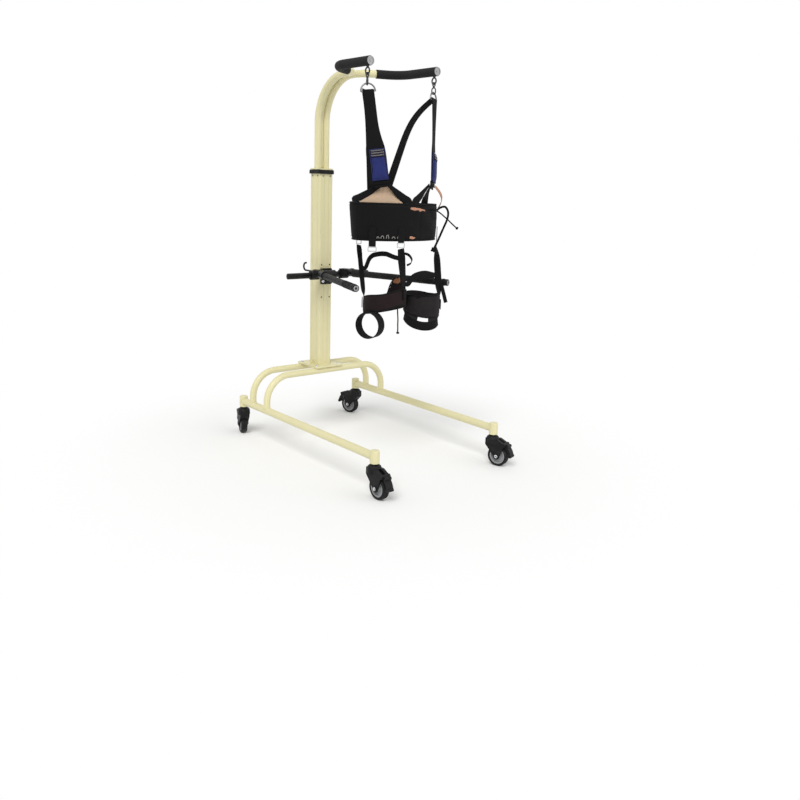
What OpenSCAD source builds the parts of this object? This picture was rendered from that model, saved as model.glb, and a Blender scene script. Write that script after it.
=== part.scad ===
// Body weight support frame: wheeled base, lift column, forked mast and hanging walking harness.
// X runs across the frame, Y forward between the legs, Z up from the floor.

/* [Base frame] */
// Distance between the two leg tubes, centre to centre
base_width = 750; // [650:5:850]
// Distance between the front and rear caster sockets, centre to centre
base_length = 1112; // [1000:4:1240]
// Outside diameter of a leg tube
leg_d = 38; // [34:1:40]
// Wall of the leg and arch tubes
frame_wall = 2.5; // [1.5:0.5:4]
// Outside diameter of a caster socket
socket_d = 43; // [42:1:50]
// Height of a caster socket
socket_h = 57; // [50:1:70]
// Outside diameter of an arched cross tube
arch_d = 34; // [30:1:36]
// Centre-line radius of an arch's bends
arch_bend_r = 130; // [90:5:160]
// Height of an arch's level run above the leg axis
arch_rise = 173; // [165:1:260]
// Distance between the two arches, centre to centre
arch_gap = 136; // [120:2:160]
// Distance of the column axis in front of the rear sockets
column_inset = 166; // [130:2:210]

/* [Foot plate] */
// Foot plate size across the frame
plate_w = 172; // [150:2:220]
// Foot plate size along the frame
plate_d = 182; // [176:2:220]
// Foot plate thickness
plate_t = 8; // [5:1:12]
// Shank diameter of the frame bolts
bolt_d = 8; // [6:1:10]
// Head diameter of the frame bolts
bolt_head_d = 16; // [14:1:18]
// Head height of the frame bolts
bolt_head_h = 5; // [4:0.5:8]

/* [Column] */
// Column size across the frame
column_w = 78; // [76:1:90]
// Column size along the frame
column_d = 88; // [84:1:100]
// Column wall
column_wall = 5; // [4:0.5:7]
// Column height above the foot plate
column_h = 983; // [900:5:1100]
// Corner radius of the column
column_r = 7; // [6:0.5:12]
// Height of the collar on top of the column
collar_h = 20; // [14:1:30]
// How far the collar stands out past the column
collar_lip = 8; // [4:1:12]
// Distance between the two holes of a row in the column's front face
hole_gap = 50; // [40:1:54]
// Diameter of the holes in the front face
hole_d = 8.4; // [6.4:0.2:10]
// Height of the lowest hole row above the floor
hole_z = 742; // [700:2:780]
// Rise from one hole row to the next
hole_pitch = 84; // [70:1:95]

/* [Lift] */
// Sliding gap between the column and the inner profile, each side
slide_gap = 0.5; // [0.3:0.1:1]
// Wall of the inner profile
inner_wall = 4; // [3:0.5:5]
// Length of the inner profile below the collar's top
inner_len = 830; // [700:10:840]
// Thickness of the head plate that carries the mast
head_t = 6; // [4:1:10]
// Diameter of the lift motor
motor_d = 58; // [50:1:62]
// Height of the lift motor
motor_h = 130; // [100:5:140]
// Outside diameter of the lift's guide tube
guide_d = 38; // [34:1:44]
// Length of the guide tube above the motor
guide_len = 740; // [600:10:760]
// Diameter of the push rod
rod_d = 25; // [20:1:28]
// Length of the push rod below the head plate
rod_len = 700; // [500:10:720]

/* [Mast] */
// Outside diameter of the mast tubes
mast_d = 34; // [30:1:38]
// Wall of the mast tubes
mast_wall = 3; // [2:0.5:4]
// Distance between the two mast tubes, centre to centre
mast_gap = 50; // [44:1:60]
// Height of the horns' axis above the floor
horn_z = 1825; // [1780:5:1900]
// Centre-line radius of the mast's forward bend
mast_bend_r = 215; // [150:5:240]
// Level stretch between the forward bend and the splay
mast_level = 28; // [10:1:60]
// Angle at which the horns splay outward
splay_angle = 65; // [50:1:75]
// Centre-line radius where a horn leaves the mast
splay_r = 70; // [55:1:80]
// Centre-line radius where a horn turns forward again
horn_bend_r = 110; // [80:2:120]
// Distance from the middle of the frame to a horn's end
horn_half = 194; // [170:1:230]
// Length of the straight forward end of a horn
horn_tail = 186; // [150:2:230]
// Outside diameter of the foam sleeves
foam_d = 40; // [40:1:48]
// Bare part of the slanted horn stretch before the foam
foam_bare = 22; // [5:1:40]
// Diameter of the horn end caps
cap_d = 37; // [36:0.5:39]
// Thickness of the horn end caps
cap_t = 4; // [3:0.5:8]

/* [Handles] */
// Height of the handle cross bar above the floor
bar_z = 862; // [855:1:872]
// Distance of the cross bar in front of the column
bar_front = 30; // [28:1:40]
// Diameter of the cross bar
bar_d = 30; // [26:1:32]
// Half length of the cross bar
bar_half = 250; // [200:5:280]
// Distance of a handle hub from the middle
hub_x = 92; // [80:1:110]
// Distance of a handle's pivot in front of the cross bar
pivot_front = 48; // [46:1:60]
// Outward angle of the near handle
near_splay = 19.5; // [10:0.5:25]
// Outward angle of the far handle
far_splay = 17.5; // [10:0.5:25]
// Length of a handle from its pivot
handle_len = 590; // [500:5:640]
// Diameter of a handle's tube
handle_d = 26; // [22:1:28]
// Outside diameter of a handle grip
grip_d = 32; // [31:1:36]
// Diameter of the clamping knobs
knob_d = 42; // [36:1:44]
// Height of the clamping knobs
knob_h = 18; // [14:1:26]
// Rod diameter of the hook on the near hub
hook_rod_d = 9; // [6:1:12]

/* [Casters] */
// Height from the floor to the underside of a socket
caster_h = 155; // [150:1:170]
// Wheel diameter
wheel_d = 104; // [98:1:108]
// Wheel width over the tyre
wheel_w = 32; // [26:1:36]
// Distance of the wheel axle behind the swivel axis
trail = 36; // [30:1:42]
// Thickness of the tyre
tyre_t = 12; // [9:0.5:15]
// Thickness of a fork cheek
cheek_t = 5.5; // [4:0.5:8]
// Diameter of the swivel stem
stem_d = 20; // [16:1:24]
// Diameter of the axle bolt
axle_d = 10; // [8:1:12]
// Length of a brake pedal's lobes along the axle
pedal_w = 34; // [28:1:40]

/* [Harness] */
// Height of the padded belt
belt_h = 166; // [140:2:200]
// Thickness of the padded belt
belt_t = 18; // [12:1:24]
// Half width of the belt's oval
belt_a = 217; // [190:1:225]
// Half depth of the belt's oval
belt_b = 117; // [100:1:140]
// Height of the belt's top edge above the floor
belt_top = 1242; // [1200:2:1290]
// Distance of the belt's middle behind the hooks
belt_back = 16.5; // [5:0.5:30]
// Width of the suspender straps at the rings
strap_w = 50; // [40:1:50]
// Width of the suspender straps behind the shoulder pads
strap_low_w = 88; // [80:1:96]
// Thickness of the webbing
strap_t = 3; // [2:0.5:4]
// Width of the leg straps
leg_strap_w = 32; // [25:1:40]
// Size of the shoulder pads across the strap
pad_w = 72; // [60:1:86]
// Size of the shoulder pads along the strap
pad_l = 126; // [100:1:140]
// Thickness of the shoulder pads
pad_t = 13; // [8:1:16]
// Height of a thigh cuff
cuff_h = 80; // [60:1:90]
// Thickness of a thigh cuff
cuff_t = 10; // [8:1:12]
// Mean radius of the near leg loop
loop_r = 60; // [50:1:70]

/* [Hidden] */
$fn = 48;

// Overrun of every cut past the face it opens
over = 1;
// Running clearance on the radius of pins and shafts
run_gap = 0.06;
// Clearance between soft or loose pieces
soft_gap = 0.4;
// Clearance on the radius of sleeves and plugs
fit_gap = 0.1;

cream = [0.87, 0.84, 0.66];
black = [0.12, 0.12, 0.13];
steel = [0.66, 0.66, 0.67];
rim_grey = [0.6, 0.6, 0.61];
navy = [0.2, 0.235, 0.44];
tan_cloth = [0.72, 0.64, 0.54];
brown_black = [0.18, 0.145, 0.15];

// Heights and places of the frame
leg_z = caster_h + socket_h / 2;
column_y = column_inset - base_length / 2;
arch_z = leg_z + arch_rise;
plate_z = arch_z + arch_d / 2;
column_z = plate_z + plate_t;
collar_z = column_z + column_h;
collar_top = collar_z + collar_h;
front_y = column_y + column_d / 2;
bore_w = column_w - 2 * column_wall;
bore_d = column_d - 2 * column_wall;
inner_w = bore_w - 2 * slide_gap;
inner_d = bore_d - 2 * slide_gap;
inner_r = column_r - column_wall + frame_wall;
head_gap = 1;
head_z = collar_top + head_gap;
head_w = mast_gap + mast_d + 2 * head_t;
head_d = inner_d - head_t;
mast_foot_z = head_z + head_t;
motor_cap_h = 16;
screw_d = 4;
screw_head_d = 7;
screw_head_h = 2;
screw_drop = 10;
screw_half = 22;
groove_w = 3;
groove_deep = 1;

// Foot bolts sit over the arches
foot_bolt_x = plate_w / 2 - bolt_head_d;
plate_corner_r = 12;

// Mast and horn
mast_rise = horn_z - mast_bend_r - mast_foot_z;
slant_len = (horn_half - mast_gap / 2 - (splay_r + horn_bend_r) * (1 - cos(splay_angle))) / sin(splay_angle);
horn_start_y = column_y + mast_bend_r + mast_level;
slant_end_y = horn_start_y + (splay_r + horn_bend_r) * sin(splay_angle) + slant_len * cos(splay_angle);
horn_end_y = slant_end_y + horn_tail;
seam_l = 3;
seam_lip = 0.4;
cap_plug = 18;
eye_back = 18;
eye_y = horn_end_y - eye_back;
eye_rod_d = 7;
eye_hole_d = 20;
eye_r = (eye_hole_d + eye_rod_d) / 2;
eye_neck = 6;
eye_z = horn_z - foam_d / 2 - eye_neck - eye_r;

// Handles
bar_y = front_y + bar_front;
bracket_w = 68;
bracket_t = 10;
bracket_low = hole_z + hole_pitch - bolt_head_d;
bracket_top = bar_z + bar_d;
boss_wall = 8;
boss_d = bar_d + 2 * boss_wall;
bar_wall = 2.5;
plug_t = 6;
hub_w = 46;
clevis_t = 8;
eye_w = 24;
clevis_gap = 0.3;
root_d = 38;
root_clear = 1;
pivot_d = 12;
pivot_y = bar_y + pivot_front;
pivot_rise = 11;
handle_z = bar_z + pivot_rise;
clevis_d = 38;
socket_len = 92;
socket_start = 30;
socket_od = 42;
neck_d = 23;
grip_gap = 2;
grip_start = socket_len + grip_gap;
grip_end_t = 8;
stud_nut_d = 20;
stud_nut_h = 7;
knob_flutes = 8;
flute_d = 12;
hook_bend_r = 19;
hook_run = 62;
hook_curl_angle = 190;
hook_z = bar_z + boss_d / 2 - hook_rod_d / 2;

// Casters
wheel_r = wheel_d / 2;
rim_r = wheel_r - tyre_t;
fork_gap = 3;
fork_w = wheel_w + 2 * (fork_gap + cheek_t);
arch_over_wheel = 5;
stem_in = 48;
dome_d = 64;
dome_drop = 5;
dome_z = caster_h - dome_drop;
dome_gap = 3;
dome_low = wheel_d + arch_over_wheel + dome_gap;
swivel_neck_d = 30;
swivel_gap = 0.4;
axle_hub_r = 17;
axle_head_d = 18;
axle_head_h = 4;
pedal_ahead = 36;
pedal_pivot_x = trail + pedal_ahead;
pedal_lift = 10;
pedal_pivot_z = wheel_d + pedal_lift;
pedal_boss_r = 9;
pedal_pin_d = 6;
pedal_root_w = 16;
pedal_out = 19;
pedal_reach = wheel_r + pedal_out;
pedal_high_share = 1.1;
pedal_lobe_r = 8;
pedal_arm_t = 9;
pedal_low_angle = 8;
pedal_high_angle = 47;
near_front_yaw = 90;
far_front_yaw = 105;
near_rear_yaw = -109;
far_rear_yaw = -74;

// Suspension of the harness: eye, snap hook and ring
hook_d = 5.5;
hook_eye_r = 7.75;
hook_loop_r = 9.25;
hook_l = 50;
barrel_d = 11;
barrel_h = 10;
hook_top_z = eye_z - eye_hole_d / 2 + hook_d / 2 + soft_gap;
hook_low_z = hook_top_z - hook_l;
ring_rod_d = 7;
ring_slack = 8;
ring_in_w = strap_w + ring_slack;
ring_rise = 32;

// Strap frame: down the strap, across it and out of its face
strap_face = 54;
ring_face = 68;
belt_y = eye_y - belt_back;
apex_x = 140;
apex_front = 92;
apex_up = 92;
strap_end_side = 19;
strap_end_back = 16;
strap_end_drop = 14;
ring_head = [horn_half, eye_y, hook_low_z + (hook_d + ring_rod_d) / 2 + soft_gap];
apex = [apex_x, belt_y + apex_front, belt_top + apex_up];
strap_end = apex + [strap_end_side, -strap_end_back, -strap_end_drop];
face_dir = [cos(strap_face), sin(strap_face), 0];
strap_down = unit(strap_end - ring_head);
ring_bar = ring_head + strap_down * ring_rise;
ring_side_dir = unit(cross(strap_down, [cos(ring_face), sin(ring_face), 0]));
ring_out_dir = cross(ring_side_dir, strap_down);
wrap_r = ring_rod_d / 2 + soft_gap + strap_t / 2;
wrap_ease = 2;
run_top = ring_bar + ring_out_dir * wrap_r;
run_down = unit(strap_end - run_top);
strap_side = unit(cross(run_down, face_dir));
strap_out = cross(strap_side, run_down);
back_foot_x = 27;
back_foot_drop = 34;
back_foot = [back_foot_x, belt_y - belt_b - belt_t - strap_t, belt_top - back_foot_drop];
back_bow = 22;
back_hump = 30;
back_bow_shares = [-0.75, -0.66, 0];
back_steps = 12;
layer = strap_t + 4 * soft_gap;
pad_gap_down = 24;
pad_shift = 6;

// Yoke legs and linings, tucked behind the belt's top edge
side_foot_angle = -18;
front_foot_angle = 86;
yoke_w = 24;
yoke_in = strap_t / 2 + 4 * soft_gap;
yoke_tuck = 16;
yoke_steps = 6;
lining_t = 3;
lining_bow = 12;
lining_flat = 0.25;
lining_back = 22;
leg_step = 1.55;
lining_tuck = 20;
lining_side_inset = 7;
lining_front_inset = 4.5;
strip_w = 14;
strip_angle = 27;
strip_bow = 24;

// Belt, cuffs and loops
belt_mid = belt_top - belt_h / 2;
belt_low = belt_top - belt_h;
belt_steps = 56;
cuff_steps = 40;
loop_steps = 28;
cuff_a = 90;
cuff_b = 95;
near_cuff_x = 63;
near_cuff_front = 17;
near_cuff_z = 792;
near_cuff_place = [near_cuff_x, belt_y + near_cuff_front, near_cuff_z];
near_cuff_tilt = 0.32;
tongue_rise = 74;
tongue_angle = 186;
tongue_half_angle = 36;
far_cuff_x = 127;
far_cuff_front = 66;
far_cuff_z = 774;
far_cuff_place = [-far_cuff_x, belt_y + far_cuff_front, far_cuff_z];
far_cuff_tilt = -0.2;
far_cuff_share = 0.86;
far_cuff_a = cuff_a * far_cuff_share;
far_cuff_b = cuff_b * far_cuff_share;
loop_w = 58;
loop_t = 3;
loop_drop = (loop_r + loop_t / 2) * (norm([1, near_cuff_tilt]) - 1) + loop_t / 2;
near_loop_face = 22;
near_loop_angle = 8;
sling_w = 42;
sling_sag = 18;
sling_steps = 10;
sling_from = -25;
sling_to = 120;

// Strap rings under the belt and the straps that hang from them
ring_angles = [-60, 33, 72, 152];
ring_short_drop = 6;
ring_long_drop = 24;
ring_drops = [ring_short_drop, ring_long_drop, ring_short_drop, ring_short_drop];
link_w = leg_strap_w + ring_slack;
link_h = 22;
link_t = 4;
stub_rise = 62;
ring_out = belt_t + soft_gap + strap_t / 2;
rear_strap_angle = -38;
mid_strap_angle = 112;
far_strap_angle = 140;
hang_steps = 6;
cross_rise = 46;
narrow_share = 0.6;
narrow_w = leg_strap_w * narrow_share;
// Where each slack strap starts and ends along the straps that it joins
slack_shares = [[0.45, 0.25], [0.88, 0.55]];
// Rise of a slack strap along its length
rise_shares = [0, 0, 0.75, 1, 1, 0.95, 0.85, 0.7, 0.45, 0.2, 0, 0];

// Closed pad section, as shares of its thickness and height
pad_section_shares = [
    [0.3, -0.5], [0.05, -0.4], [0, 0], [0.05, 0.4], [0.3, 0.5],
    [0.62, 0.5], [0.92, 0.38], [1, 0.14], [1, -0.14], [0.92, -0.38], [0.62, -0.5]
];
// Strap width along a suspender, as shares from the ring width to the low width
widen_shares = [0, 0, 0, 0.1, 0.4, 0.85, 1, 1, 1, 0.9];

// Free lace and ties, points chosen along their hanging routes
lace_d = 10;
tie_d = 6;
lace_angle = 140;
tie_angle = 118;
cuff_tie_angle = 88;
cord_guide_shares = [0.3, 1, 0.2];
lace_start = belt_point(lace_angle, belt_t + lace_d / 4, belt_mid + belt_h / 3);
lace_route = [for (p = [
    [0, 0, 0], [-9, 6, 9], [-23, 10, 15], [-37, 14, 16], [-47, 18, 7],
    [-52, 22, -10], [-49, 24, -30], [-41, 24, -51], [-30, 23, -72], [-18, 23, -93],
    [-5, 25, -113], [9, 29, -131], [25, 35, -148], [41, 41, -164], [57, 47, -178]
]) lace_start + p];
tie_start = belt_point(tie_angle, belt_t + tie_d / 8, belt_mid + belt_h / 3);
tie_route = [for (p = [
    [0, 0, 0], [-12, 9, 2], [-27, 18, -3], [-42, 27, -13], [-57, 35, -26],
    [-72, 43, -39], [-86, 51, -53], [-99, 59, -66], [-112, 67, -78]
]) tie_start + p];
cuff_tie_start = near_cuff_point(cuff_tie_angle, -1);
cuff_tie_route = [for (p = [
    [0, 0, 0], [0, 1, -20], [-1, 2, -40], [-2, 3, -60], [-2, 3, -80],
    [-3, 3, -100], [-3, 3, -122]
]) cuff_tie_start + p];

function unit(v) = v / norm(v);
function mix(a, b, t) = a + (b - a) * t;
function oval(a, b, t) = [a * cos(t), b * sin(t)];
function oval_out(a, b, t) = unit([b * cos(t), a * sin(t)]);
function belt_point(t, out, z) =
    let (p = oval(belt_a, belt_b, t) + oval_out(belt_a, belt_b, t) * out)
    [p[0], belt_y + p[1], z];
function tangent(pts, i) = unit(pts[min(i + 1, len(pts) - 1)] - pts[max(i - 1, 0)]);

// Faces of a stack of rings of m points; the stack closes on itself when closed is true
function ring_faces(n, m, closed) = [
    for (i = [0 : (closed ? n - 1 : n - 2)], j = [0 : m - 1])
        let (q = (j + 1) % m, n2 = (i + 1) % n, a = i * m + j, b = i * m + q, c = n2 * m + j, d = n2 * m + q)
        each [[a, b, d], [a, d, c]]
];
function cap_faces(n, m) = concat(
    [for (j = [1 : m - 2]) [0, j + 1, j]],
    [for (j = [1 : m - 2]) [(n - 1) * m, (n - 1) * m + j, (n - 1) * m + j + 1]]
);
function flipped(faces) = [for (f = faces) [f[0], f[2], f[1]]];

// Flat webbing along points, with its own across direction and width at each
module webbing(pts, across, widths, t) {
    rings = [
        for (i = [0 : len(pts) - 1])
            let (along = tangent(pts, i), out = unit(cross(along, across[i])))
            let (side = cross(out, along), w = widths[i] / 2)
            each [
                pts[i] + side * w + out * t / 2, pts[i] - side * w + out * t / 2,
                pts[i] - side * w - out * t / 2, pts[i] + side * w - out * t / 2
            ]
    ];
    polyhedron(rings, flipped(concat(ring_faces(len(pts), 4, false), cap_faces(len(pts), 4))));
}

// Straight webbing from one point to another, its face turned by the across direction
module strap_between(from, to, across, w, t) {
    webbing([from, mix(from, to, 0.5), to], [across, across, across], [w, w, w], t);
}

// Round cord swept along its route
module cord(route, d, sides = 8) {
    n = len(route);
    rings = [
        for (i = [0 : n - 1])
            let (along = tangent(route, i), side = unit(cross(along, cord_guide_shares)))
            let (up = cross(side, along))
            for (k = [0 : sides - 1])
                route[i] + (side * cos(360 * k / sides) + up * sin(360 * k / sides)) * d / 2
    ];
    polyhedron(rings, concat(ring_faces(n, sides, false), cap_faces(n, sides)));
}

// Padded band round an oval, with a crowned section, a tilt along Y and a tongue that rises from its wall
function tongue_share(ang) = max(0, 1 - pow((ang - tongue_angle) / tongue_half_angle, 4));
module padded_band(a, b, h, t, steps, tilt = 0, rise = 0) {
    rings = [
        for (i = [0 : steps - 1])
            let (ang = 360 * i / steps, p = oval(a, b, ang), out = oval_out(a, b, ang))
            for (s = pad_section_shares)
                let (lift = s[1] > 0 ? rise * tongue_share(ang) * s[1] * 2 : 0)
                [p[0] + out[0] * s[0] * t, p[1] + out[1] * s[0] * t, s[1] * h + tilt * p[1] + lift]
    ];
    polyhedron(rings, flipped(ring_faces(steps, len(pad_section_shares), true)));
}

// Crowned pad on a flat back, its long sides drawn in between the corners
module crowned_pad(w, l, t, steps = 10) {
    edge_share = 0.45;
    draw_share = 0.06;
    grid = [
        for (i = [0 : steps], j = [0 : steps])
            let (u = 2 * i / steps - 1, v = 2 * j / steps - 1)
            let (rise = edge_share + (1 - edge_share) * (1 - pow(u, 4)) * (1 - pow(v, 4)))
            let (in_x = draw_share * (1 - v * v), in_y = draw_share / 2 * (1 - u * u))
            [u * w / 2 * (1 - in_x), v * l / 2 * (1 - in_y), t * rise]
    ];
    m = steps + 1;
    flat = [for (p = grid) [p[0], p[1], 0]];
    top_faces = [
        for (i = [0 : steps - 1], j = [0 : steps - 1])
            let (a = i * m + j, b = a + 1, c = a + m, d = c + 1)
            each [[a, b, d], [a, d, c]]
    ];
    k = m * m;
    back_faces = [for (f = top_faces) [f[0] + k, f[2] + k, f[1] + k]];
    rim = concat(
        [for (j = [0 : steps - 1]) j],
        [for (i = [0 : steps - 1]) i * m + steps],
        [for (j = [0 : steps - 1]) steps * m + steps - j],
        [for (i = [0 : steps - 1]) (steps - i) * m]
    );
    rim_faces = [
        for (q = [0 : len(rim) - 1])
            let (a = rim[q], b = rim[(q + 1) % len(rim)])
            each [[a, a + k, b + k], [a, b + k, b]]
    ];
    polyhedron(concat(grid, flat), concat(top_faces, back_faces, rim_faces));
}

// Straight stretch of bar along local Z, with the children at its far end
module run(l, d) {
    cylinder(h = l, d = d);
    translate([0, 0, l]) children();
}

// Bend of bar towards local X, with the children at its far end
module bend(r, a, d) {
    translate([r, 0, 0]) rotate([90, 0, 180]) rotate_extrude(angle = a) translate([r, 0]) circle(d = d);
    turn(r, a) children();
}

// Step past a bend without drawing it
module turn(r, a) {
    translate([r, 0, 0]) rotate([0, a, 0]) translate([-r, 0, 0]) children();
}

module rounded_rect(w, d, r) {
    square([w - 2 * r, d], center = true);
    square([w, d - 2 * r], center = true);
    for (x = [-1, 1], y = [-1, 1]) translate([x * (w / 2 - r), y * (d / 2 - r)]) circle(r = r);
}

module along_x(l, d) {
    rotate([0, 90, 0]) cylinder(h = l, d = d, center = true);
}

module along_y(l, d) {
    rotate([90, 0, 0]) cylinder(h = l, d = d, center = true);
}

// Rigid frame from an origin and three perpendicular directions
module in_frame(at, x, y, z) {
    multmatrix([
        [x[0], y[0], z[0], at[0]],
        [x[1], y[1], z[1], at[1]],
        [x[2], y[2], z[2], at[2]],
        [0, 0, 0, 1]
    ]) children();
}

module on_both_sides() {
    children();
    mirror([1, 0, 0]) children();
}

// Leg tube with a closed socket at each end
module leg(side) {
    crown_h = 3;
    color(cream) translate([side * base_width / 2, 0, 0]) difference() {
        union() {
            translate([0, 0, leg_z]) along_y(base_length, leg_d);
            for (y = [-1, 1]) translate([0, y * base_length / 2, caster_h]) {
                cylinder(h = socket_h - crown_h, d = socket_d);
                translate([0, 0, socket_h - crown_h])
                    cylinder(h = crown_h, d1 = socket_d, d2 = socket_d - 2 * crown_h);
            }
        }
        translate([0, 0, leg_z]) along_y(base_length - socket_d, leg_d - 2 * frame_wall);
        for (y = [-1, 1]) translate([0, y * base_length / 2, caster_h - over])
            cylinder(h = stem_in + 2 * over, d = stem_d + 2 * run_gap);
    }
}

module near_leg() {
    leg(1);
}

module far_leg() {
    leg(-1);
}

// Half of an arch's centre line, from the foot of the upright to the middle of the level run
module arch_half(d, sink) {
    up = arch_rise - arch_bend_r;
    translate([base_width / 2, 0, leg_z - sink]) rotate([0, 0, 180])
        run(up + sink, d) bend(arch_bend_r, 90, d) run(base_width / 2 - arch_bend_r, d);
}

module arch(y) {
    color(cream) difference() {
        translate([0, y, 0]) on_both_sides() arch_half(arch_d, 0);
        translate([0, y, 0]) on_both_sides() arch_half(arch_d - 2 * frame_wall, over);
        for (side = [-1, 1]) translate([side * base_width / 2, y, leg_z]) along_y(2 * arch_d, leg_d);
        for (x = [-1, 1]) translate([x * foot_bolt_x, y, arch_z])
            cylinder(h = arch_d, d = bolt_d + 2 * fit_gap);
    }
}

module rear_arch() {
    arch(column_y - arch_gap / 2);
}

module front_arch() {
    arch(column_y + arch_gap / 2);
}

// Plate on both arches with a raised weld collar round the column's foot
module foot_plate() {
    rib_h = 26;
    rib_t = 6;
    rib_l = 34;
    color(cream) translate([0, column_y, plate_z]) {
        difference() {
            linear_extrude(plate_t) rounded_rect(plate_w, plate_d, plate_corner_r);
            for (x = [-1, 1], y = [-1, 1]) translate([x * foot_bolt_x, y * arch_gap / 2, -over])
                cylinder(h = plate_t + 2 * over, d = bolt_d + 2 * fit_gap);
        }
        for (x = [-1, 1]) translate([x * column_w / 2, 0, plate_t]) rotate([90, 0, 0])
            linear_extrude(rib_t, center = true) polygon([[0, 0], [x * rib_l, 0], [0, rib_h]]);
    }
}

// Round-headed bolt standing on its seat, shank down
module frame_bolt(grip) {
    socket_share = 0.5;
    taper_share = 0.8;
    key_share = 0.7;
    difference() {
        union() {
            cylinder(h = bolt_head_h, d1 = bolt_head_d, d2 = bolt_head_d * taper_share);
            translate([0, 0, -grip]) cylinder(h = grip, d = bolt_d);
        }
        translate([0, 0, bolt_head_h * socket_share])
            cylinder(h = bolt_head_h, d = bolt_d * key_share, $fn = 6);
    }
}

module frame_bolts() {
    color(steel) {
        for (x = [-1, 1], y = [-1, 1])
            translate([x * foot_bolt_x, column_y + y * arch_gap / 2, column_z])
                frame_bolt(plate_t + 2 * frame_wall);
        for (x = [-1, 1])
            translate([x * hole_gap / 2, front_y + bracket_t, hole_z + hole_pitch]) rotate([-90, 0, 0])
                frame_bolt(bracket_t + column_wall);
    }
}

// Extruded column with rounded corners, a shallow groove pair down each face and three hole rows
module column_profile() {
    color(cream) translate([0, column_y, 0]) difference() {
        translate([0, 0, column_z]) linear_extrude(column_h) difference() {
            rounded_rect(column_w, column_d, column_r);
            rounded_rect(bore_w, bore_d, column_r - column_wall);
            for (x = [-1, 1], y = [-1, 1]) {
                translate([x * column_w / 2, y * column_d / 4])
                    square([2 * groove_deep, groove_w], center = true);
                translate([x * column_w / 6, y * column_d / 2])
                    square([groove_w, 2 * groove_deep], center = true);
            }
        }
        for (x = [-1, 1], row = [0 : 2])
            translate([x * hole_gap / 2, column_d / 2 - column_wall / 2, hole_z + row * hole_pitch])
                along_y(column_wall + 2 * over, hole_d);
        for (turned = [0, 90], s = [-1, 1], x = [-1, 1])
            translate([0, 0, collar_z - screw_drop]) rotate([0, 0, turned])
                translate([x * screw_half, s * (turned == 0 ? column_d : column_w) / 2, 0])
                    along_y(2 * column_wall + 2 * over, screw_d);
    }
}

// Guide collar that caps the column and lines the sliding profile
module top_collar() {
    edge = 4;
    w = column_w + 2 * collar_lip;
    d = column_d + 2 * collar_lip;
    r = column_r + collar_lip;
    color(black) translate([0, column_y, collar_z]) difference() {
        union() {
            linear_extrude(collar_h - edge) rounded_rect(w, d, r);
            translate([0, 0, collar_h - edge]) linear_extrude(edge)
                rounded_rect(w - edge, d - edge, r - edge / 2);
        }
        translate([0, 0, -over]) linear_extrude(collar_h + 2 * over)
            rounded_rect(inner_w + 2 * slide_gap, inner_d + 2 * slide_gap, inner_r);
    }
}

module collar_screws() {
    color(steel) translate([0, column_y, collar_z - screw_drop])
        for (turned = [0, 90], s = [-1, 1], x = [-1, 1])
            rotate([0, 0, turned])
                translate([x * screw_half, s * (turned == 0 ? column_d : column_w) / 2, 0])
                rotate([-90 * s, 0, 0]) {
                    cylinder(h = screw_head_h, d1 = screw_head_d, d2 = screw_head_d - screw_head_h);
                    translate([0, 0, -column_wall]) cylinder(h = column_wall, d = screw_d);
                }
}

// Lift motor on the foot plate with its gear head and guide tube
module lift_motor() {
    color(black) translate([0, column_y, column_z]) difference() {
        union() {
            cylinder(h = motor_h, d = motor_d);
            translate([0, 0, motor_h]) cylinder(h = motor_cap_h, d1 = motor_d, d2 = guide_d);
            translate([0, 0, motor_h + motor_cap_h]) cylinder(h = guide_len, d = guide_d);
        }
        translate([0, 0, motor_h + motor_cap_h]) cylinder(h = guide_len + over, d = rod_d + 2 * slide_gap);
    }
}

module inner_profile() {
    color(cream) translate([0, column_y, head_z - inner_len]) linear_extrude(inner_len) difference() {
        rounded_rect(inner_w, inner_d, inner_r);
        rounded_rect(inner_w - 2 * inner_wall, inner_d - 2 * inner_wall, inner_r);
    }
}

module head_plate() {
    color(cream) translate([0, column_y, head_z]) linear_extrude(head_t)
        rounded_rect(head_w, head_d, column_r);
}

module push_rod() {
    color(steel) translate([0, column_y, head_z - rod_len]) cylinder(h = rod_len, d = rod_d);
}

// Step to the start of a horn's slanted stretch
module to_slant(side) {
    translate([side * mast_gap / 2, column_y, horn_z]) rotate([-90, 0, 0])
        translate([0, 0, mast_bend_r + mast_level]) rotate([0, 0, side > 0 ? 0 : 180])
            turn(splay_r, splay_angle) children();
}

// Low seam ring where a bend meets a straight stretch
module seam(d) {
    cylinder(h = seam_l, d = d + seam_lip, center = true);
}

// Slanted stretch, forward turn and straight end of a horn
module horn_end(d, skip, more) {
    translate([0, 0, skip]) run(slant_len - skip, d) {
        seam(d);
        rotate([0, 0, 180]) bend(horn_bend_r, splay_angle, d) {
            seam(d);
            run(horn_tail + more, d);
        }
    }
}

// Whole mast tube, with its foot and tip longer by the given amount
module mast_line(side, d, more) {
    translate([side * mast_gap / 2, column_y, mast_foot_z - more]) rotate([0, 0, 90])
        run(mast_rise + more, d) bend(mast_bend_r, 90, d) run(mast_level, d)
            rotate([0, 0, -90 * side]) bend(splay_r, splay_angle, d) {
                seam(d);
                horn_end(d, 0, more);
            }
}

module mast(side) {
    color(cream) difference() {
        mast_line(side, mast_d, 0);
        mast_line(side, mast_d - 2 * mast_wall, over);
        translate([side * horn_half, eye_y, horn_z - mast_d])
            cylinder(h = mast_d, d = eye_rod_d + 2 * fit_gap);
    }
}

module near_mast() {
    mast(1);
}

module far_mast() {
    mast(-1);
}

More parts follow.
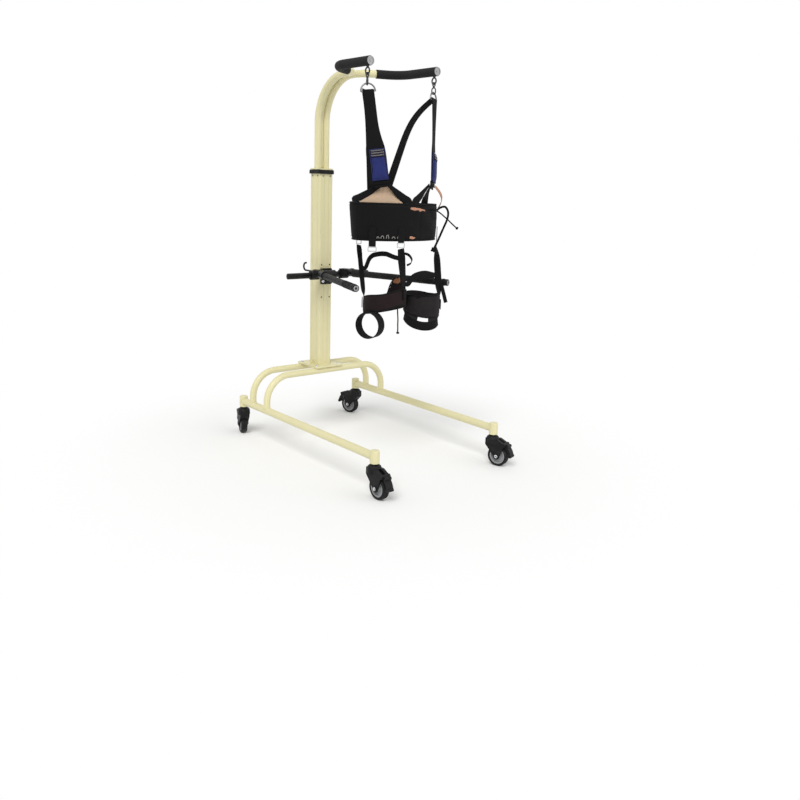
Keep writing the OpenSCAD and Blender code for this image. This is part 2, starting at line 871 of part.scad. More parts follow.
module horn_foam() {
    color(black) for (side = [-1, 1]) difference() {
        to_slant(side) horn_end(foam_d, foam_bare, 0);
        to_slant(side) horn_end(mast_d + 2 * fit_gap, foam_bare - over, over);
        translate([side * horn_half, eye_y, horn_z - foam_d])
            cylinder(h = foam_d, d = eye_rod_d + 2 * fit_gap);
    }
}

// Disc caps with a raised ring, plugged into the tube ends
module horn_caps() {
    ring_t = 1.5;
    ring_share = 0.75;
    boss_share = 0.3;
    color(steel) for (side = [-1, 1]) translate([side * horn_half, horn_end_y, horn_z]) rotate([-90, 0, 0]) {
        difference() {
            cylinder(h = cap_t, d = cap_d);
            translate([0, 0, cap_t - ring_t]) difference() {
                cylinder(h = 2 * ring_t, d = cap_d * ring_share);
                translate([0, 0, -over]) cylinder(h = 2 * ring_t + 2 * over, d = cap_d * boss_share);
            }
        }
        translate([0, 0, -cap_plug]) cylinder(h = cap_plug, d = mast_d - 2 * mast_wall - 2 * fit_gap);
    }
}

// Eye bolts whose hole lies along X, so that the hooks swing forward and back
module eye_bolts() {
    rise = horn_z - eye_z;
    washer_t = 2 * cap_t / 3;
    color(steel) for (side = [-1, 1]) translate([side * horn_half, eye_y, eye_z]) {
        rotate([0, 90, 0]) rotate_extrude() translate([eye_r, 0]) circle(d = eye_rod_d);
        translate([0, 0, eye_r]) cylinder(h = rise - eye_r - mast_d / 2 + mast_wall, d = eye_rod_d);
        translate([0, 0, rise - foam_d / 2 - washer_t]) cylinder(h = washer_t, d = 2 * eye_rod_d);
    }
}

// Bracket on the column's front face with a boss round the cross bar
module handle_bracket() {
    color(black) difference() {
        union() {
            translate([0, front_y + bracket_t / 2, (bracket_low + bracket_top) / 2]) rotate([90, 0, 0])
                linear_extrude(bracket_t, center = true)
                    rounded_rect(bracket_w, bracket_top - bracket_low, column_r);
            translate([0, bar_y, bar_z]) along_x(bracket_w, boss_d);
            translate([-bracket_w / 2, front_y, bar_z - bar_d / 2]) cube([bracket_w, bar_front, bar_d]);
        }
        translate([0, bar_y, bar_z]) along_x(bracket_w + 2 * over, bar_d + 2 * fit_gap);
        for (x = [-1, 1]) translate([x * hole_gap / 2, front_y, hole_z + hole_pitch])
            along_y(2 * bracket_t + 2 * over, bolt_d + 2 * fit_gap);
        for (x = [-1, 1]) translate([x * hole_gap / 2, front_y + bracket_t, hole_z + hole_pitch])
            rotate([-90, 0, 0]) cylinder(h = bar_front, d = bolt_head_d + 2 * soft_gap);
    }
}

module cross_bar() {
    color(black) translate([0, bar_y, bar_z]) difference() {
        along_x(2 * bar_half, bar_d);
        along_x(2 * bar_half + 2 * over, bar_d - 2 * bar_wall);
    }
}

module cross_bar_plugs() {
    color(black) for (x = [-1, 1]) translate([x * bar_half, bar_y, bar_z]) rotate([0, 90 * x, 0]) {
        rotate_extrude() intersection() {
            translate([0, plug_t - bar_d]) circle(d = 2 * bar_d, $fn = 96);
            square([bar_d / 2, plug_t]);
        }
        translate([0, 0, -cap_plug]) cylinder(h = cap_plug, d = bar_d - 2 * bar_wall - 2 * fit_gap);
    }
}

function splay(side) = side > 0 ? near_splay : far_splay;

// Frame at a handle's pivot: local Y runs out along the handle and local X along the pivot
module at_pivot(side) {
    translate([side * hub_x, pivot_y, handle_z]) rotate([0, 0, -side * splay(side)]) children();
}

// Hub clamped on the cross bar, with a clevis for the handle's root
module handle_hub(side) {
    slot_w = eye_w + 2 * clevis_gap;
    cheek_out = slot_w / 2 + clevis_t;
    root_gap = root_d / 2 + root_clear;
    color(black) difference() {
        union() {
            translate([side * hub_x, bar_y, bar_z]) along_x(hub_w, boss_d);
            at_pivot(side) {
                along_x(2 * cheek_out, clevis_d);
                translate([-cheek_out, -pivot_front, -clevis_d / 2])
                    cube([2 * cheek_out, pivot_front, clevis_d]);
            }
        }
        translate([side * hub_x, bar_y, bar_z]) along_x(2 * (cheek_out + pivot_front), bar_d + 2 * fit_gap);
        at_pivot(side) {
            along_x(4 * cheek_out, pivot_d + 2 * run_gap);
            translate([side * (cheek_out + knob_h), 0, 0]) along_x(2 * knob_h, knob_d + 2 * soft_gap);
            along_x(slot_w, 2 * root_gap);
            translate([-slot_w / 2, 0, -clevis_d]) cube([slot_w, clevis_d, 2 * clevis_d]);
            translate([-slot_w / 2, -root_gap, -clevis_d]) cube([slot_w, clevis_d, clevis_d]);
        }
    }
}

// Near hub with a rod hook that curls up behind it
module near_handle_hub() {
    handle_hub(1);
    color(black) translate([hub_x, bar_y - bar_d / 2, hook_z]) rotate([90, 0, 0]) rotate([0, 0, 90])
        run(hook_run, hook_rod_d) bend(hook_bend_r, hook_curl_angle, hook_rod_d);
}

module far_handle_hub() {
    handle_hub(-1);
}

// Handle tube with the eye that turns on the pivot stud, a neck and a wide socket
module handle_bar(side) {
    color(black) at_pivot(side) difference() {
        union() {
            along_x(eye_w, root_d);
            rotate([-90, 0, 0]) {
                cylinder(h = socket_start + over, d = neck_d);
                translate([0, 0, socket_start]) cylinder(h = socket_len - socket_start, d = socket_od);
                translate([0, 0, socket_len - over])
                    cylinder(h = handle_len - grip_end_t - socket_len + over, d = handle_d);
            }
        }
        along_x(eye_w + 2 * over, pivot_d + 2 * run_gap);
        translate([0, socket_len, 0]) rotate([-90, 0, 0])
            cylinder(h = handle_len, d = handle_d - 2 * bar_wall);
    }
}

module near_handle_bar() {
    handle_bar(1);
}

module far_handle_bar() {
    handle_bar(-1);
}

// Closed-ended grip with a raised collar at each end
module handle_grip(side) {
    bead_h = 10;
    bead_t = 1.5;
    color(black) at_pivot(side) rotate([-90, 0, 0]) difference() {
        union() {
            translate([0, 0, grip_start]) cylinder(h = handle_len - grip_start - bead_t, d = grip_d);
            for (z = [grip_start, handle_len - 3 * bead_h])
                translate([0, 0, z]) cylinder(h = bead_h, d = grip_d + 2 * bead_t);
            translate([0, 0, handle_len - bead_t])
                cylinder(h = bead_t, d1 = grip_d, d2 = grip_d - 2 * bead_t);
        }
        translate([0, 0, grip_start - over])
            cylinder(h = handle_len - grip_start + over - grip_end_t, d = handle_d + 2 * fit_gap);
    }
}

module near_handle_grip() {
    handle_grip(1);
}

module far_handle_grip() {
    handle_grip(-1);
}

// Fluted knob on the pivot stud, with its retaining nut inside the clevis
module handle_knob(side) {
    half_w = eye_w / 2 + clevis_gap + clevis_t;
    crown = 3;
    color(black) at_pivot(side) rotate([0, 90 * side, 0]) {
        translate([0, 0, -half_w - stud_nut_h])
            cylinder(h = 2 * half_w + stud_nut_h + soft_gap, d = pivot_d);
        translate([0, 0, -half_w - stud_nut_h - soft_gap]) cylinder(h = stud_nut_h, d = stud_nut_d, $fn = 6);
        translate([0, 0, half_w + soft_gap]) difference() {
            union() {
                cylinder(h = knob_h - crown, d = knob_d);
                translate([0, 0, knob_h - crown]) cylinder(h = crown, d1 = knob_d, d2 = knob_d - 2 * crown);
            }
            for (k = [0 : knob_flutes - 1]) rotate([0, 0, 360 * k / knob_flutes])
                translate([knob_d / 2 + flute_d / 3, 0, -over]) cylinder(h = knob_h + 2 * over, d = flute_d);
        }
    }
}

module near_handle_knob() {
    handle_knob(1);
}

module far_handle_knob() {
    handle_knob(-1);
}

module at_caster(x, y, yaw) {
    translate([x * base_width / 2, y * base_length / 2, 0]) rotate([0, 0, yaw]) children();
}

// Wheel axle of a caster, with local Z along it
module at_axle(x, y, yaw) {
    at_caster(x, y, yaw) translate([trail, 0, wheel_r]) rotate([90, 0, 0]) children();
}

// Side outline of the fork: hood over the wheel, tapered cheek and axle boss
module fork_outline() {
    hood_drop = 14;
    hood_inset = 4;
    hood_skirt = 8;
    cheek_skirt = 12;
    cheek_share = 0.62;
    hood_top = dome_z - hood_drop;
    hood_front = hood_inset - dome_d / 2;
    polygon([
        [hood_front, dome_low - hood_skirt], [hood_front, hood_top], [trail, hood_top],
        [pedal_pivot_x + pedal_boss_r, pedal_pivot_z],
        [trail + wheel_r * cheek_share, dome_low - cheek_skirt],
        [trail + axle_hub_r, wheel_r], [trail - axle_hub_r, wheel_r]
    ]);
    translate([trail, wheel_r]) circle(r = axle_hub_r);
    translate([pedal_pivot_x, pedal_pivot_z]) circle(r = pedal_boss_r);
}

// Half section of the swivel head and its stem
module swivel_outline() {
    dome_shares = [[1, 0], [1, 0.58], [0.9, 0.79], [0.72, 0.92]];
    polygon(concat(
        [[0, dome_low]],
        [for (s = dome_shares) [s[0] * dome_d / 2, mix(dome_low, dome_z, s[1])]],
        [
            [swivel_neck_d / 2, dome_z], [swivel_neck_d / 2, caster_h - swivel_gap],
            [stem_d / 2, caster_h - swivel_gap], [stem_d / 2, caster_h + stem_in], [0, caster_h + stem_in]
        ]
    ));
}

// Fork housing with its swivel stem, and the axle bolt through its cheeks
module fork(x, y, yaw) {
    slot_share = 0.62;
    color(black) at_caster(x, y, yaw) difference() {
        union() {
            rotate([90, 0, 0]) linear_extrude(fork_w, center = true) fork_outline();
            rotate_extrude() swivel_outline();
        }
        translate([trail, 0, wheel_r]) along_y(wheel_w + 2 * fork_gap, wheel_d + 2 * arch_over_wheel);
        translate([trail - wheel_d, -wheel_w / 2 - fork_gap, -over])
            cube([2 * wheel_d, wheel_w + 2 * fork_gap, wheel_r + over]);
        translate([trail, 0, wheel_r]) along_y(fork_w + 2 * over, axle_d + 2 * fit_gap);
        translate([pedal_pivot_x, 0, pedal_pivot_z]) {
            along_y(pedal_root_w + 2 * soft_gap, 2 * pedal_reach * slot_share);
            along_y(fork_w + 2 * over, pedal_pin_d + 2 * run_gap);
        }
    }
    color(steel) at_caster(x, y, yaw) translate([trail, 0, wheel_r]) {
        along_y(fork_w, axle_d);
        for (s = [-1, 1])
            translate([0, s * (fork_w + axle_head_h) / 2, 0]) along_y(axle_head_h, axle_head_d);
    }
}

// Tyre with rounded shoulders and a groove round the middle of the tread
module tyre(x, y, yaw) {
    shoulder = 5;
    groove = 2;
    color(black) at_axle(x, y, yaw) rotate_extrude() difference() {
        union() {
            translate([rim_r, -wheel_w / 2]) square([tyre_t - shoulder, wheel_w]);
            translate([rim_r, -wheel_w / 2 + shoulder]) square([tyre_t, wheel_w - 2 * shoulder]);
            for (s = [-1, 1])
                translate([wheel_r - shoulder, s * (wheel_w / 2 - shoulder)]) circle(r = shoulder);
        }
        translate([wheel_r - groove, -groove / 2]) square([2 * groove, groove]);
    }
}

// Rim with a bearing hub, a dished web and a raised ring against the tyre
module rim(x, y, yaw) {
    hub_r = 14;
    hub_gap = 0.5;
    web_half = 5;
    ring_t = 9;
    ring_slope = 3;
    ring_step = 2;
    ring_in = rim_r - ring_t;
    hub_half = wheel_w / 2 + fork_gap - hub_gap;
    rim_half = wheel_w / 2 - ring_step;
    bore_r = axle_d / 2 + run_gap;
    color(rim_grey) at_axle(x, y, yaw) rotate_extrude() polygon([
        [bore_r, -hub_half], [hub_r, -hub_half], [hub_r + web_half, -web_half], [ring_in, -web_half],
        [ring_in + ring_slope, -rim_half], [rim_r, -rim_half],
        [rim_r, rim_half], [ring_in + ring_slope, rim_half], [ring_in, web_half],
        [hub_r + web_half, web_half], [hub_r, hub_half], [bore_r, hub_half]
    ]);
}

// Outline of the brake pedal: an arm round the tyre with an upper and a lower lobe
module pedal_outline() {
    hub = [trail, wheel_r];
    low = hub + [cos(pedal_low_angle), sin(pedal_low_angle)] * pedal_reach;
    high = hub + [cos(pedal_high_angle), sin(pedal_high_angle)] * pedal_reach * pedal_high_share;
    translate(low) circle(r = pedal_lobe_r);
    translate(high) circle(r = pedal_lobe_r);
    intersection() {
        translate(hub) difference() {
            circle(r = pedal_reach + pedal_arm_t / 2);
            circle(r = pedal_reach - pedal_arm_t / 2);
        }
        polygon([hub, low * 2 - hub, high * 2 - hub]);
    }
}

// Brake pedal with its root on the pivot pin
module pedal(x, y, yaw) {
    root = [trail, wheel_r] + [cos(pedal_high_angle), sin(pedal_high_angle)] * pedal_reach;
    color(black) at_caster(x, y, yaw) {
        rotate([90, 0, 0]) linear_extrude(pedal_w, center = true) pedal_outline();
        rotate([90, 0, 0]) linear_extrude(pedal_root_w, center = true) hull() {
            translate([pedal_pivot_x, pedal_pivot_z]) circle(r = pedal_boss_r);
            translate(root) circle(r = pedal_lobe_r);
        }
        translate([pedal_pivot_x, 0, pedal_pivot_z]) along_y(fork_w, pedal_pin_d);
    }
}

module near_front_fork() { fork(1, 1, near_front_yaw); }
module near_front_tyre() { tyre(1, 1, near_front_yaw); }
module near_front_rim() { rim(1, 1, near_front_yaw); }
module near_front_pedal() { pedal(1, 1, near_front_yaw); }
module far_front_fork() { fork(-1, 1, far_front_yaw); }
module far_front_tyre() { tyre(-1, 1, far_front_yaw); }
module far_front_rim() { rim(-1, 1, far_front_yaw); }
module far_front_pedal() { pedal(-1, 1, far_front_yaw); }
module near_rear_fork() { fork(1, -1, near_rear_yaw); }
module near_rear_tyre() { tyre(1, -1, near_rear_yaw); }
module near_rear_rim() { rim(1, -1, near_rear_yaw); }
module near_rear_pedal() { pedal(1, -1, near_rear_yaw); }
module far_rear_fork() { fork(-1, -1, far_rear_yaw); }
module far_rear_tyre() { tyre(-1, -1, far_rear_yaw); }
module far_rear_rim() { rim(-1, -1, far_rear_yaw); }
module far_rear_pedal() { pedal(-1, -1, far_rear_yaw); }

// Swivel snap hook: a small eye in the eye bolt, a barrel and a long loop turned to hold the ring
module snap_hook() {
    loop_top = -2 * hook_eye_r - barrel_h + hook_d / 2;
    straight = hook_l + loop_top - 2 * hook_loop_r;
    loop_low = loop_top - hook_loop_r - straight;
    translate([horn_half, eye_y, hook_top_z]) {
        translate([0, 0, -hook_eye_r]) rotate([90, 0, 0])
            rotate_extrude() translate([hook_eye_r, 0]) circle(d = hook_d);
        translate([0, 0, loop_top]) cylinder(h = barrel_h, d = barrel_d);
        rotate([0, 0, ring_face]) {
            translate([0, 0, loop_top - hook_loop_r]) rotate([90, 0, 0]) rotate_extrude(angle = 180)
                translate([hook_loop_r, 0]) circle(d = hook_d);
            for (x = [-1, 1]) translate([x * hook_loop_r, 0, loop_low]) cylinder(h = straight, d = hook_d);
            translate([0, 0, loop_low]) rotate([90, 180, 0]) rotate_extrude(angle = 180)
                translate([hook_loop_r, 0]) circle(d = hook_d);
        }
    }
}

module snap_hooks() {
    color(steel) on_both_sides() snap_hook();
}

// Ring with a straight bar for the strap and a round top in the hook
module d_ring() {
    half = (ring_in_w + ring_rod_d) / 2;
    arc_r = (half * half + ring_rise * ring_rise) / (2 * ring_rise);
    arc_half = acos((arc_r - ring_rise) / arc_r);
    in_frame(ring_bar, ring_side_dir, -strap_down, -ring_out_dir) {
        along_x(2 * half, ring_rod_d);
        for (x = [-1, 1]) translate([x * half, 0, 0]) sphere(d = ring_rod_d);
        translate([0, ring_rise - arc_r, 0]) rotate([0, 0, 90 - arc_half])
            rotate_extrude(angle = 2 * arc_half) translate([arc_r, 0]) circle(d = ring_rod_d);
    }
}

module d_rings() {
    color(steel) on_both_sides() d_ring();
}

// Suspender from the belt's back, over the ring's bar and down to the yoke's apex
module suspender() {
    back_top = ring_bar - ring_out_dir * (wrap_r + wrap_ease);
    wrap = [
        for (a = [-180 : 30 : 0])
            ring_bar + (ring_out_dir * cos(a) - strap_down * sin(-a)) * (wrap_r - wrap_ease * a / 180)
    ];
    n = len(widen_shares);
    front = [for (k = [1 : n]) mix(run_top, strap_end, k / n)];
    back = [
        for (k = [0 : back_steps - 1])
            let (t = k / back_steps)
            let (lean = back_bow * sin(180 * t) + back_hump * sin(180 * t * t * t))
            mix(back_foot, back_top, t) + back_bow_shares * lean
    ];
    pts = concat(back, wrap, front);
    across = concat(
        [for (k = [0 : back_steps - 1]) unit(mix([1, 0, 0], ring_side_dir, k / back_steps))],
        [for (p = wrap) ring_side_dir],
        [for (k = [1 : n]) unit(mix(ring_side_dir, strap_side, min(1, 2 * k / n)))]
    );
    widths = concat(
        [for (p = back) strap_w],
        [for (p = wrap) strap_w],
        [for (s = widen_shares) mix(strap_w, strap_low_w, s)]
    );
    webbing(pts, across, widths, strap_t);
}

module suspender_straps() {
    color(black) on_both_sides() suspender();
}

module shoulder_pads() {
    drop = pad_l / 2 + pad_gap_down;
    at = strap_end - run_down * drop - strap_side * pad_shift + strap_out * (strap_t / 2 + soft_gap);
    color(navy) on_both_sides() in_frame(at, strap_side, -run_down, -strap_out)
        mirror([0, 0, 1]) crowned_pad(pad_w, pad_l, pad_t);
}

// Yoke legs from the apex down behind the belt's rim, turning from the strap's face to the belt's
module yoke() {
    angles = [side_foot_angle, front_foot_angle];
    for (k = [0, 1]) {
        flat_out = oval_out(belt_a, belt_b, angles[k]);
        belt_out = [flat_out[0], flat_out[1], 0];
        top = apex - strap_out * ((leg_step * k + 1) * layer + 2 * soft_gap) + run_down * (yoke_w / 2);
        rim = belt_point(angles[k], -yoke_in, belt_top + yoke_w / 2);
        foot = belt_point(angles[k], -yoke_in, belt_top - yoke_tuck);
        slope = unit(rim - top);
        webbing(
            concat([for (i = [0 : yoke_steps]) mix(top, rim, i / yoke_steps)], [foot]),
            concat(
                [for (i = [0 : yoke_steps]) cross(slope, mix(strap_out, belt_out, i / yoke_steps))],
                [[belt_out[1], -belt_out[0], 0]]
            ),
            [for (i = [0 : yoke_steps + 1]) yoke_w], strap_t
        );
    }
}

module side_yokes() {
    color(black) on_both_sides() yoke();
}

// Cloth between the yoke legs, from behind the belt's rim up towards the apex
module lining() {
    cols = 12;
    rows = 8;
    top_share = 0.9;
    function bow(rise) = lining_bow * sin(180 * max(0, rise - lining_flat) / (1 - lining_flat));
    from = side_foot_angle + lining_side_inset;
    to = front_foot_angle - lining_front_inset;
    high = apex - face_dir * lining_back;
    sheet = [
        for (r = [0 : rows], c = [0 : cols])
            let (low = belt_point(mix(from, to, c / cols), -lining_t / 2, belt_top - lining_tuck))
            mix(low, high, top_share * r / rows) - face_dir * bow(r / rows)
    ];
    m = cols + 1;
    k = len(sheet);
    front = [for (p = sheet) p + face_dir * lining_t / 2];
    back = [for (p = sheet) p - face_dir * lining_t / 2];
    front_faces = [
        for (r = [0 : rows - 1], c = [0 : cols - 1])
            let (a = r * m + c, b = a + 1, d = a + m, e = d + 1)
            each [[a, b, e], [a, e, d]]
    ];
    back_faces = [for (f = front_faces) [f[0] + k, f[2] + k, f[1] + k]];
    rim = concat(
        [for (c = [0 : cols - 1]) c],
        [for (r = [0 : rows - 1]) r * m + cols],
        [for (c = [0 : cols - 1]) rows * m + cols - c],
        [for (r = [0 : rows - 1]) (rows - r) * m]
    );
    rim_faces = [
        for (q = [0 : len(rim) - 1])
            let (a = rim[q], b = rim[(q + 1) % len(rim)])
            each [[a, a + k, b + k], [a, b + k, b]]
    ];
    polyhedron(concat(front, back), flipped(concat(front_faces, back_faces, rim_faces)));
}

// Far lining, folded to a strip that bows out and ends on the belt's face
module lining_strip() {
    steps = 8;
    top = apex + strap_out * strip_w + run_down * strip_w;
    foot = belt_point(strip_angle, belt_t + strap_t / 4, belt_top - lining_tuck);
    pts = [for (i = [0 : steps]) mix(top, foot, i / steps) + face_dir * strip_bow * sin(180 * i / steps)];
    webbing(pts, [for (p = pts) cross(foot - top, face_dir)], [for (p = pts) strip_w], strap_t);
}

module yoke_linings() {
    color(tan_cloth) {
        lining();
        mirror([1, 0, 0]) lining_strip();
    }
}

module body_belt() {
    color(black) translate([0, belt_y, belt_mid]) padded_band(belt_a, belt_b, belt_h, belt_t, belt_steps);
}

function ring_top(k) = belt_point(ring_angles[k], ring_out, belt_low - ring_drops[k]);
function ring_low(k) = ring_top(k) - [0, 0, link_h + 2 * soft_gap];
function ring_side(k) = let (out = oval_out(belt_a, belt_b, ring_angles[k])) [-out[1], out[0], 0];

// Rectangular strap ring that hangs under the belt's lower edge on a short stub of webbing
module strap_ring(k) {
    side = ring_side(k);
    translate(ring_top(k) - [0, 0, soft_gap + link_h / 2]) rotate([90, 0, atan2(side[1], side[0])])
        linear_extrude(link_t, center = true) difference() {
            rounded_rect(link_w, link_h, link_t);
            rounded_rect(link_w - 2 * link_t, link_h - 2 * link_t, link_t / 2);
        }
}

module strap_rings() {
    color(steel) for (k = [0 : len(ring_angles) - 1]) strap_ring(k);
}

// Slack strap between two others, level at both ends and rising in its middle
module slack_strap(from, to, rise) {
    n = len(rise_shares);
    pts = [
        for (k = [0 : n - 1])
            let (p = mix(from, to, k / (n - 1)), level = min(1, max(0, (k - 1) / (n - 3))))
            [p[0], p[1], mix(from[2], to[2], level) + rise * rise_shares[k]]
    ];
    webbing(pts, [for (p = pts) [0, 0, 1]], [for (p = pts) narrow_w], strap_t);
}

// Place, width direction and outward direction at a share of the way down a hanging strap
function hang_point(k, low, share) = mix(ring_low(k), low, share);
function hang_across(k, rim, share) = unit(mix(ring_side(k), rim, share));
function hang_out(k, low, rim, share) = unit(cross(low - ring_low(k), hang_across(k, rim, share)));
function slack_seat(k, low, rim, share) =
    let (out = hang_out(k, low, rim, share))
    hang_point(k, low, share) - out * (strap_t / 2 + 3 * soft_gap + narrow_w / 2 * abs(out[2]));

// Strap from a ring down to a cuff's rim, its width turning from the ring's side to the rim's
module hanging_strap(k, low, rim) {
    side = ring_side(k);
    way = unit(low - ring_low(k));
    head = ring_low(k) - [0, 0, leg_strap_w / 2 * abs(way * side) + soft_gap / 2];
    foot = low + [0, 0, leg_strap_w / 2 * abs(way * rim) + soft_gap / 2];
    webbing(
        [for (i = [0 : hang_steps]) mix(head, foot, i / hang_steps)],
        [for (i = [0 : hang_steps]) mix(side, rim, i / hang_steps)],
        [for (i = [0 : hang_steps]) leg_strap_w], strap_t
    );
}

// Leg straps from the belt's rings down to the cuffs, ring stubs and two slack cross straps
module leg_straps() {
    rear_low = near_cuff_point(rear_strap_angle, 1);
    mid_low = near_cuff_point(mid_strap_angle, 1);
    far_low = far_cuff_point(far_strap_angle, 1);
    rear_rim = cuff_rim(rear_strap_angle, near_cuff_tilt);
    mid_rim = cuff_rim(mid_strap_angle, near_cuff_tilt);
    far_rim = cuff_rim(far_strap_angle, far_cuff_tilt);
    edge = leg_strap_w / 2 + strap_t;
    color(black) {
        for (k = [0 : len(ring_angles) - 1]) {
            stub_top = ring_top(k) + [0, 0, ring_drops[k] + stub_rise];
            strap_between(stub_top, ring_top(k), ring_side(k), leg_strap_w, strap_t);
        }
        hanging_strap(0, rear_low, rear_rim);
        hanging_strap(2, mid_low, mid_rim);
        hanging_strap(3, far_low, far_rim);
        slack_strap(
            slack_seat(0, rear_low, rear_rim, slack_shares[0][0]),
            slack_seat(2, mid_low, mid_rim, slack_shares[0][1]), cross_rise
        );
        slack_strap(
            hang_point(2, mid_low, slack_shares[1][0]) + hang_across(2, mid_rim, slack_shares[1][0]) * edge,
            slack_seat(3, far_low, far_rim, slack_shares[1][1]), cross_rise / 2
        );
    }
}

function cuff_point(place, a, b, t, tilt, end) =
    let (p = oval(a, b, t) + oval_out(a, b, t) * cuff_t / 2)
    [place[0] + p[0], place[1] + p[1], place[2] + end * (cuff_h / 2 + soft_gap) + tilt * b * sin(t)];
function near_cuff_point(t, end) = cuff_point(near_cuff_place, cuff_a, cuff_b, t, near_cuff_tilt, end);
function far_cuff_point(t, end) =
    cuff_point(far_cuff_place, far_cuff_a, far_cuff_b, t, far_cuff_tilt, end);
function cuff_rim(t, tilt) = unit([-cuff_a * sin(t), cuff_b * cos(t), tilt * cuff_b * cos(t)]);

// Near cuff, whose inner wall rises to a tongue between the legs
module near_cuff() {
    color(brown_black) translate(near_cuff_place)
        padded_band(cuff_a, cuff_b, cuff_h, cuff_t, cuff_steps, near_cuff_tilt, tongue_rise);
}

module far_cuff() {
    color(brown_black) translate(far_cuff_place)
        padded_band(far_cuff_a, far_cuff_b, cuff_h, cuff_t, cuff_steps, far_cuff_tilt);
}

// Hanging loop of webbing that faces the given direction
module leg_loop(top, face) {
    axis = [cos(face), sin(face), 0];
    side = [-sin(face), cos(face), 0];
    rings = [
        for (i = [0 : loop_steps - 1])
            let (a = 360 * i / loop_steps, out = side * cos(a) + [0, 0, 1] * sin(a))
            let (mid = top + (out - [0, 0, 1]) * loop_r)
            each [
                mid + axis * loop_w / 2 + out * loop_t / 2, mid - axis * loop_w / 2 + out * loop_t / 2,
                mid - axis * loop_w / 2 - out * loop_t / 2, mid + axis * loop_w / 2 - out * loop_t / 2
            ]
    ];
    polyhedron(rings, flipped(ring_faces(loop_steps, 4, true)));
}

// Sling of webbing that sags under the far cuff's front edge
module leg_sling() {
    pts = [
        for (k = [0 : sling_steps])
            far_cuff_point(mix(sling_from, sling_to, k / sling_steps), -1)
                - [0, 0, sling_w / 2 + sling_sag * sin(180 * k / sling_steps)]
    ];
    webbing(pts, [for (p = pts) [0, 0, 1]], [for (p = pts) sling_w], loop_t);
}

module leg_loops() {
    color(black) {
        leg_loop(near_cuff_point(near_loop_angle, -1) - [0, 0, loop_drop], near_loop_face);
        leg_sling();
    }
}

module belt_lace() {
    color(black) cord(lace_route, lace_d);
}

module belt_tie() {
    color(black) cord(tie_route, tie_d);
}

module cuff_tie() {
    color(black) cord(cuff_tie_route, tie_d);
}

near_leg();
far_leg();
rear_arch();
front_arch();
foot_plate();
frame_bolts();
column_profile();
top_collar();
collar_screws();
lift_motor();
handle_bracket();
cross_bar();
cross_bar_plugs();
near_handle_hub();
far_handle_hub();
inner_profile();
head_plate();
near_mast();
far_mast();
horn_foam();
horn_caps();
eye_bolts();
push_rod();
near_handle_bar();
near_handle_grip();
near_handle_knob();
far_handle_bar();
far_handle_grip();
far_handle_knob();
near_front_fork();
near_front_tyre();
near_front_rim();
near_front_pedal();
far_front_fork();
far_front_tyre();
far_front_rim();
far_front_pedal();
near_rear_fork();
near_rear_tyre();
near_rear_rim();
near_rear_pedal();
far_rear_fork();
far_rear_tyre();
far_rear_rim();
far_rear_pedal();
snap_hooks();
d_rings();
suspender_straps();
shoulder_pads();
side_yokes();
yoke_linings();
body_belt();
strap_rings();
leg_straps();
near_cuff();
far_cuff();
leg_loops();
belt_lace();
belt_tie();
cuff_tie();
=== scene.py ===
"""Looks of a body weight support frame: finishes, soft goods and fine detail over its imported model."""

import logging
import math
from dataclasses import dataclass, field
from enum import Enum

import bmesh
import bpy
import numpy as np
from mathutils import Matrix, Vector


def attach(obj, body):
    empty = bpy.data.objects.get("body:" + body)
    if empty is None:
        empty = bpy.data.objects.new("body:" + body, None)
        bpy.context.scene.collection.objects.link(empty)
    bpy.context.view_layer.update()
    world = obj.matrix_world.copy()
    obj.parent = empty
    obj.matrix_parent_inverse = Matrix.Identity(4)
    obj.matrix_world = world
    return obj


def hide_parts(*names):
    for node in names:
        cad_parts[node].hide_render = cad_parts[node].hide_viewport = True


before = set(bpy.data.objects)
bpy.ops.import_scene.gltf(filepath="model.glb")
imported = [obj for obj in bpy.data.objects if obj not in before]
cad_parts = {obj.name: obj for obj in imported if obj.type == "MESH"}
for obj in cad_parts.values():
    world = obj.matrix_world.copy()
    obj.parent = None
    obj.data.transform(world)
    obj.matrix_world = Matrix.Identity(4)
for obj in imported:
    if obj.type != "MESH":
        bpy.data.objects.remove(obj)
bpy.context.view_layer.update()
LOG = logging.getLogger("walking_frame")
TURN = 2 * math.pi
UP = np.array([0.0, 0.0, 1.0])
ASIDE = np.array([0.3, 1.0, 0.2])
CORNERS = ((-1, -1), (1, -1), (1, 1), (-1, 1))
Points = np.ndarray
Piece = bpy.types.Object
Socket = bpy.types.NodeSocket


class Coords(Enum):
    """Where a pattern takes its place from."""

    OBJECT = "Object"
    UV = "UV"


class Side(Enum):
    """The two sides of the frame, by the sign of their X."""

    NEAR = 1
    FAR = -1

    @property
    def word(self) -> str:
        """Give the side as it stands in names."""
        return self.name.lower()

    def flip(self, points: Points) -> Points:
        """Bring points or directions of the near side to this side."""
        return np.asarray(points, float) * np.array([self.value, 1.0, 1.0])


def srgb(red: float, green: float, blue: float) -> tuple[float, float, float, float]:
    """Turn a colour read from 0 to 255 into linear light, with full alpha."""
    levels = (c / 255 for c in (red, green, blue))
    linear = [c / 12.92 if c <= 0.04045 else ((c + 0.055) / 1.055) ** 2.4 for c in levels]
    return (*linear, 1.0)


def shade(colour: tuple, share: float) -> tuple:
    """Darken or lighten a colour by a share."""
    return (*(min(1.0, c * share) for c in colour[:3]), 1.0)


def unit(vector: Points) -> Points:
    """Scale a vector to length one."""
    vector = np.asarray(vector, float)
    return vector / np.linalg.norm(vector)


def mix(low: Points, high: Points, share: float) -> Points:
    """Step a share of the way from one point to another."""
    low = np.asarray(low, float)
    return low + (np.asarray(high, float) - low) * share


def full_turn(count: int) -> Points:
    """Give evenly spaced angles once round."""
    return np.linspace(0, TURN, count, endpoint=False)


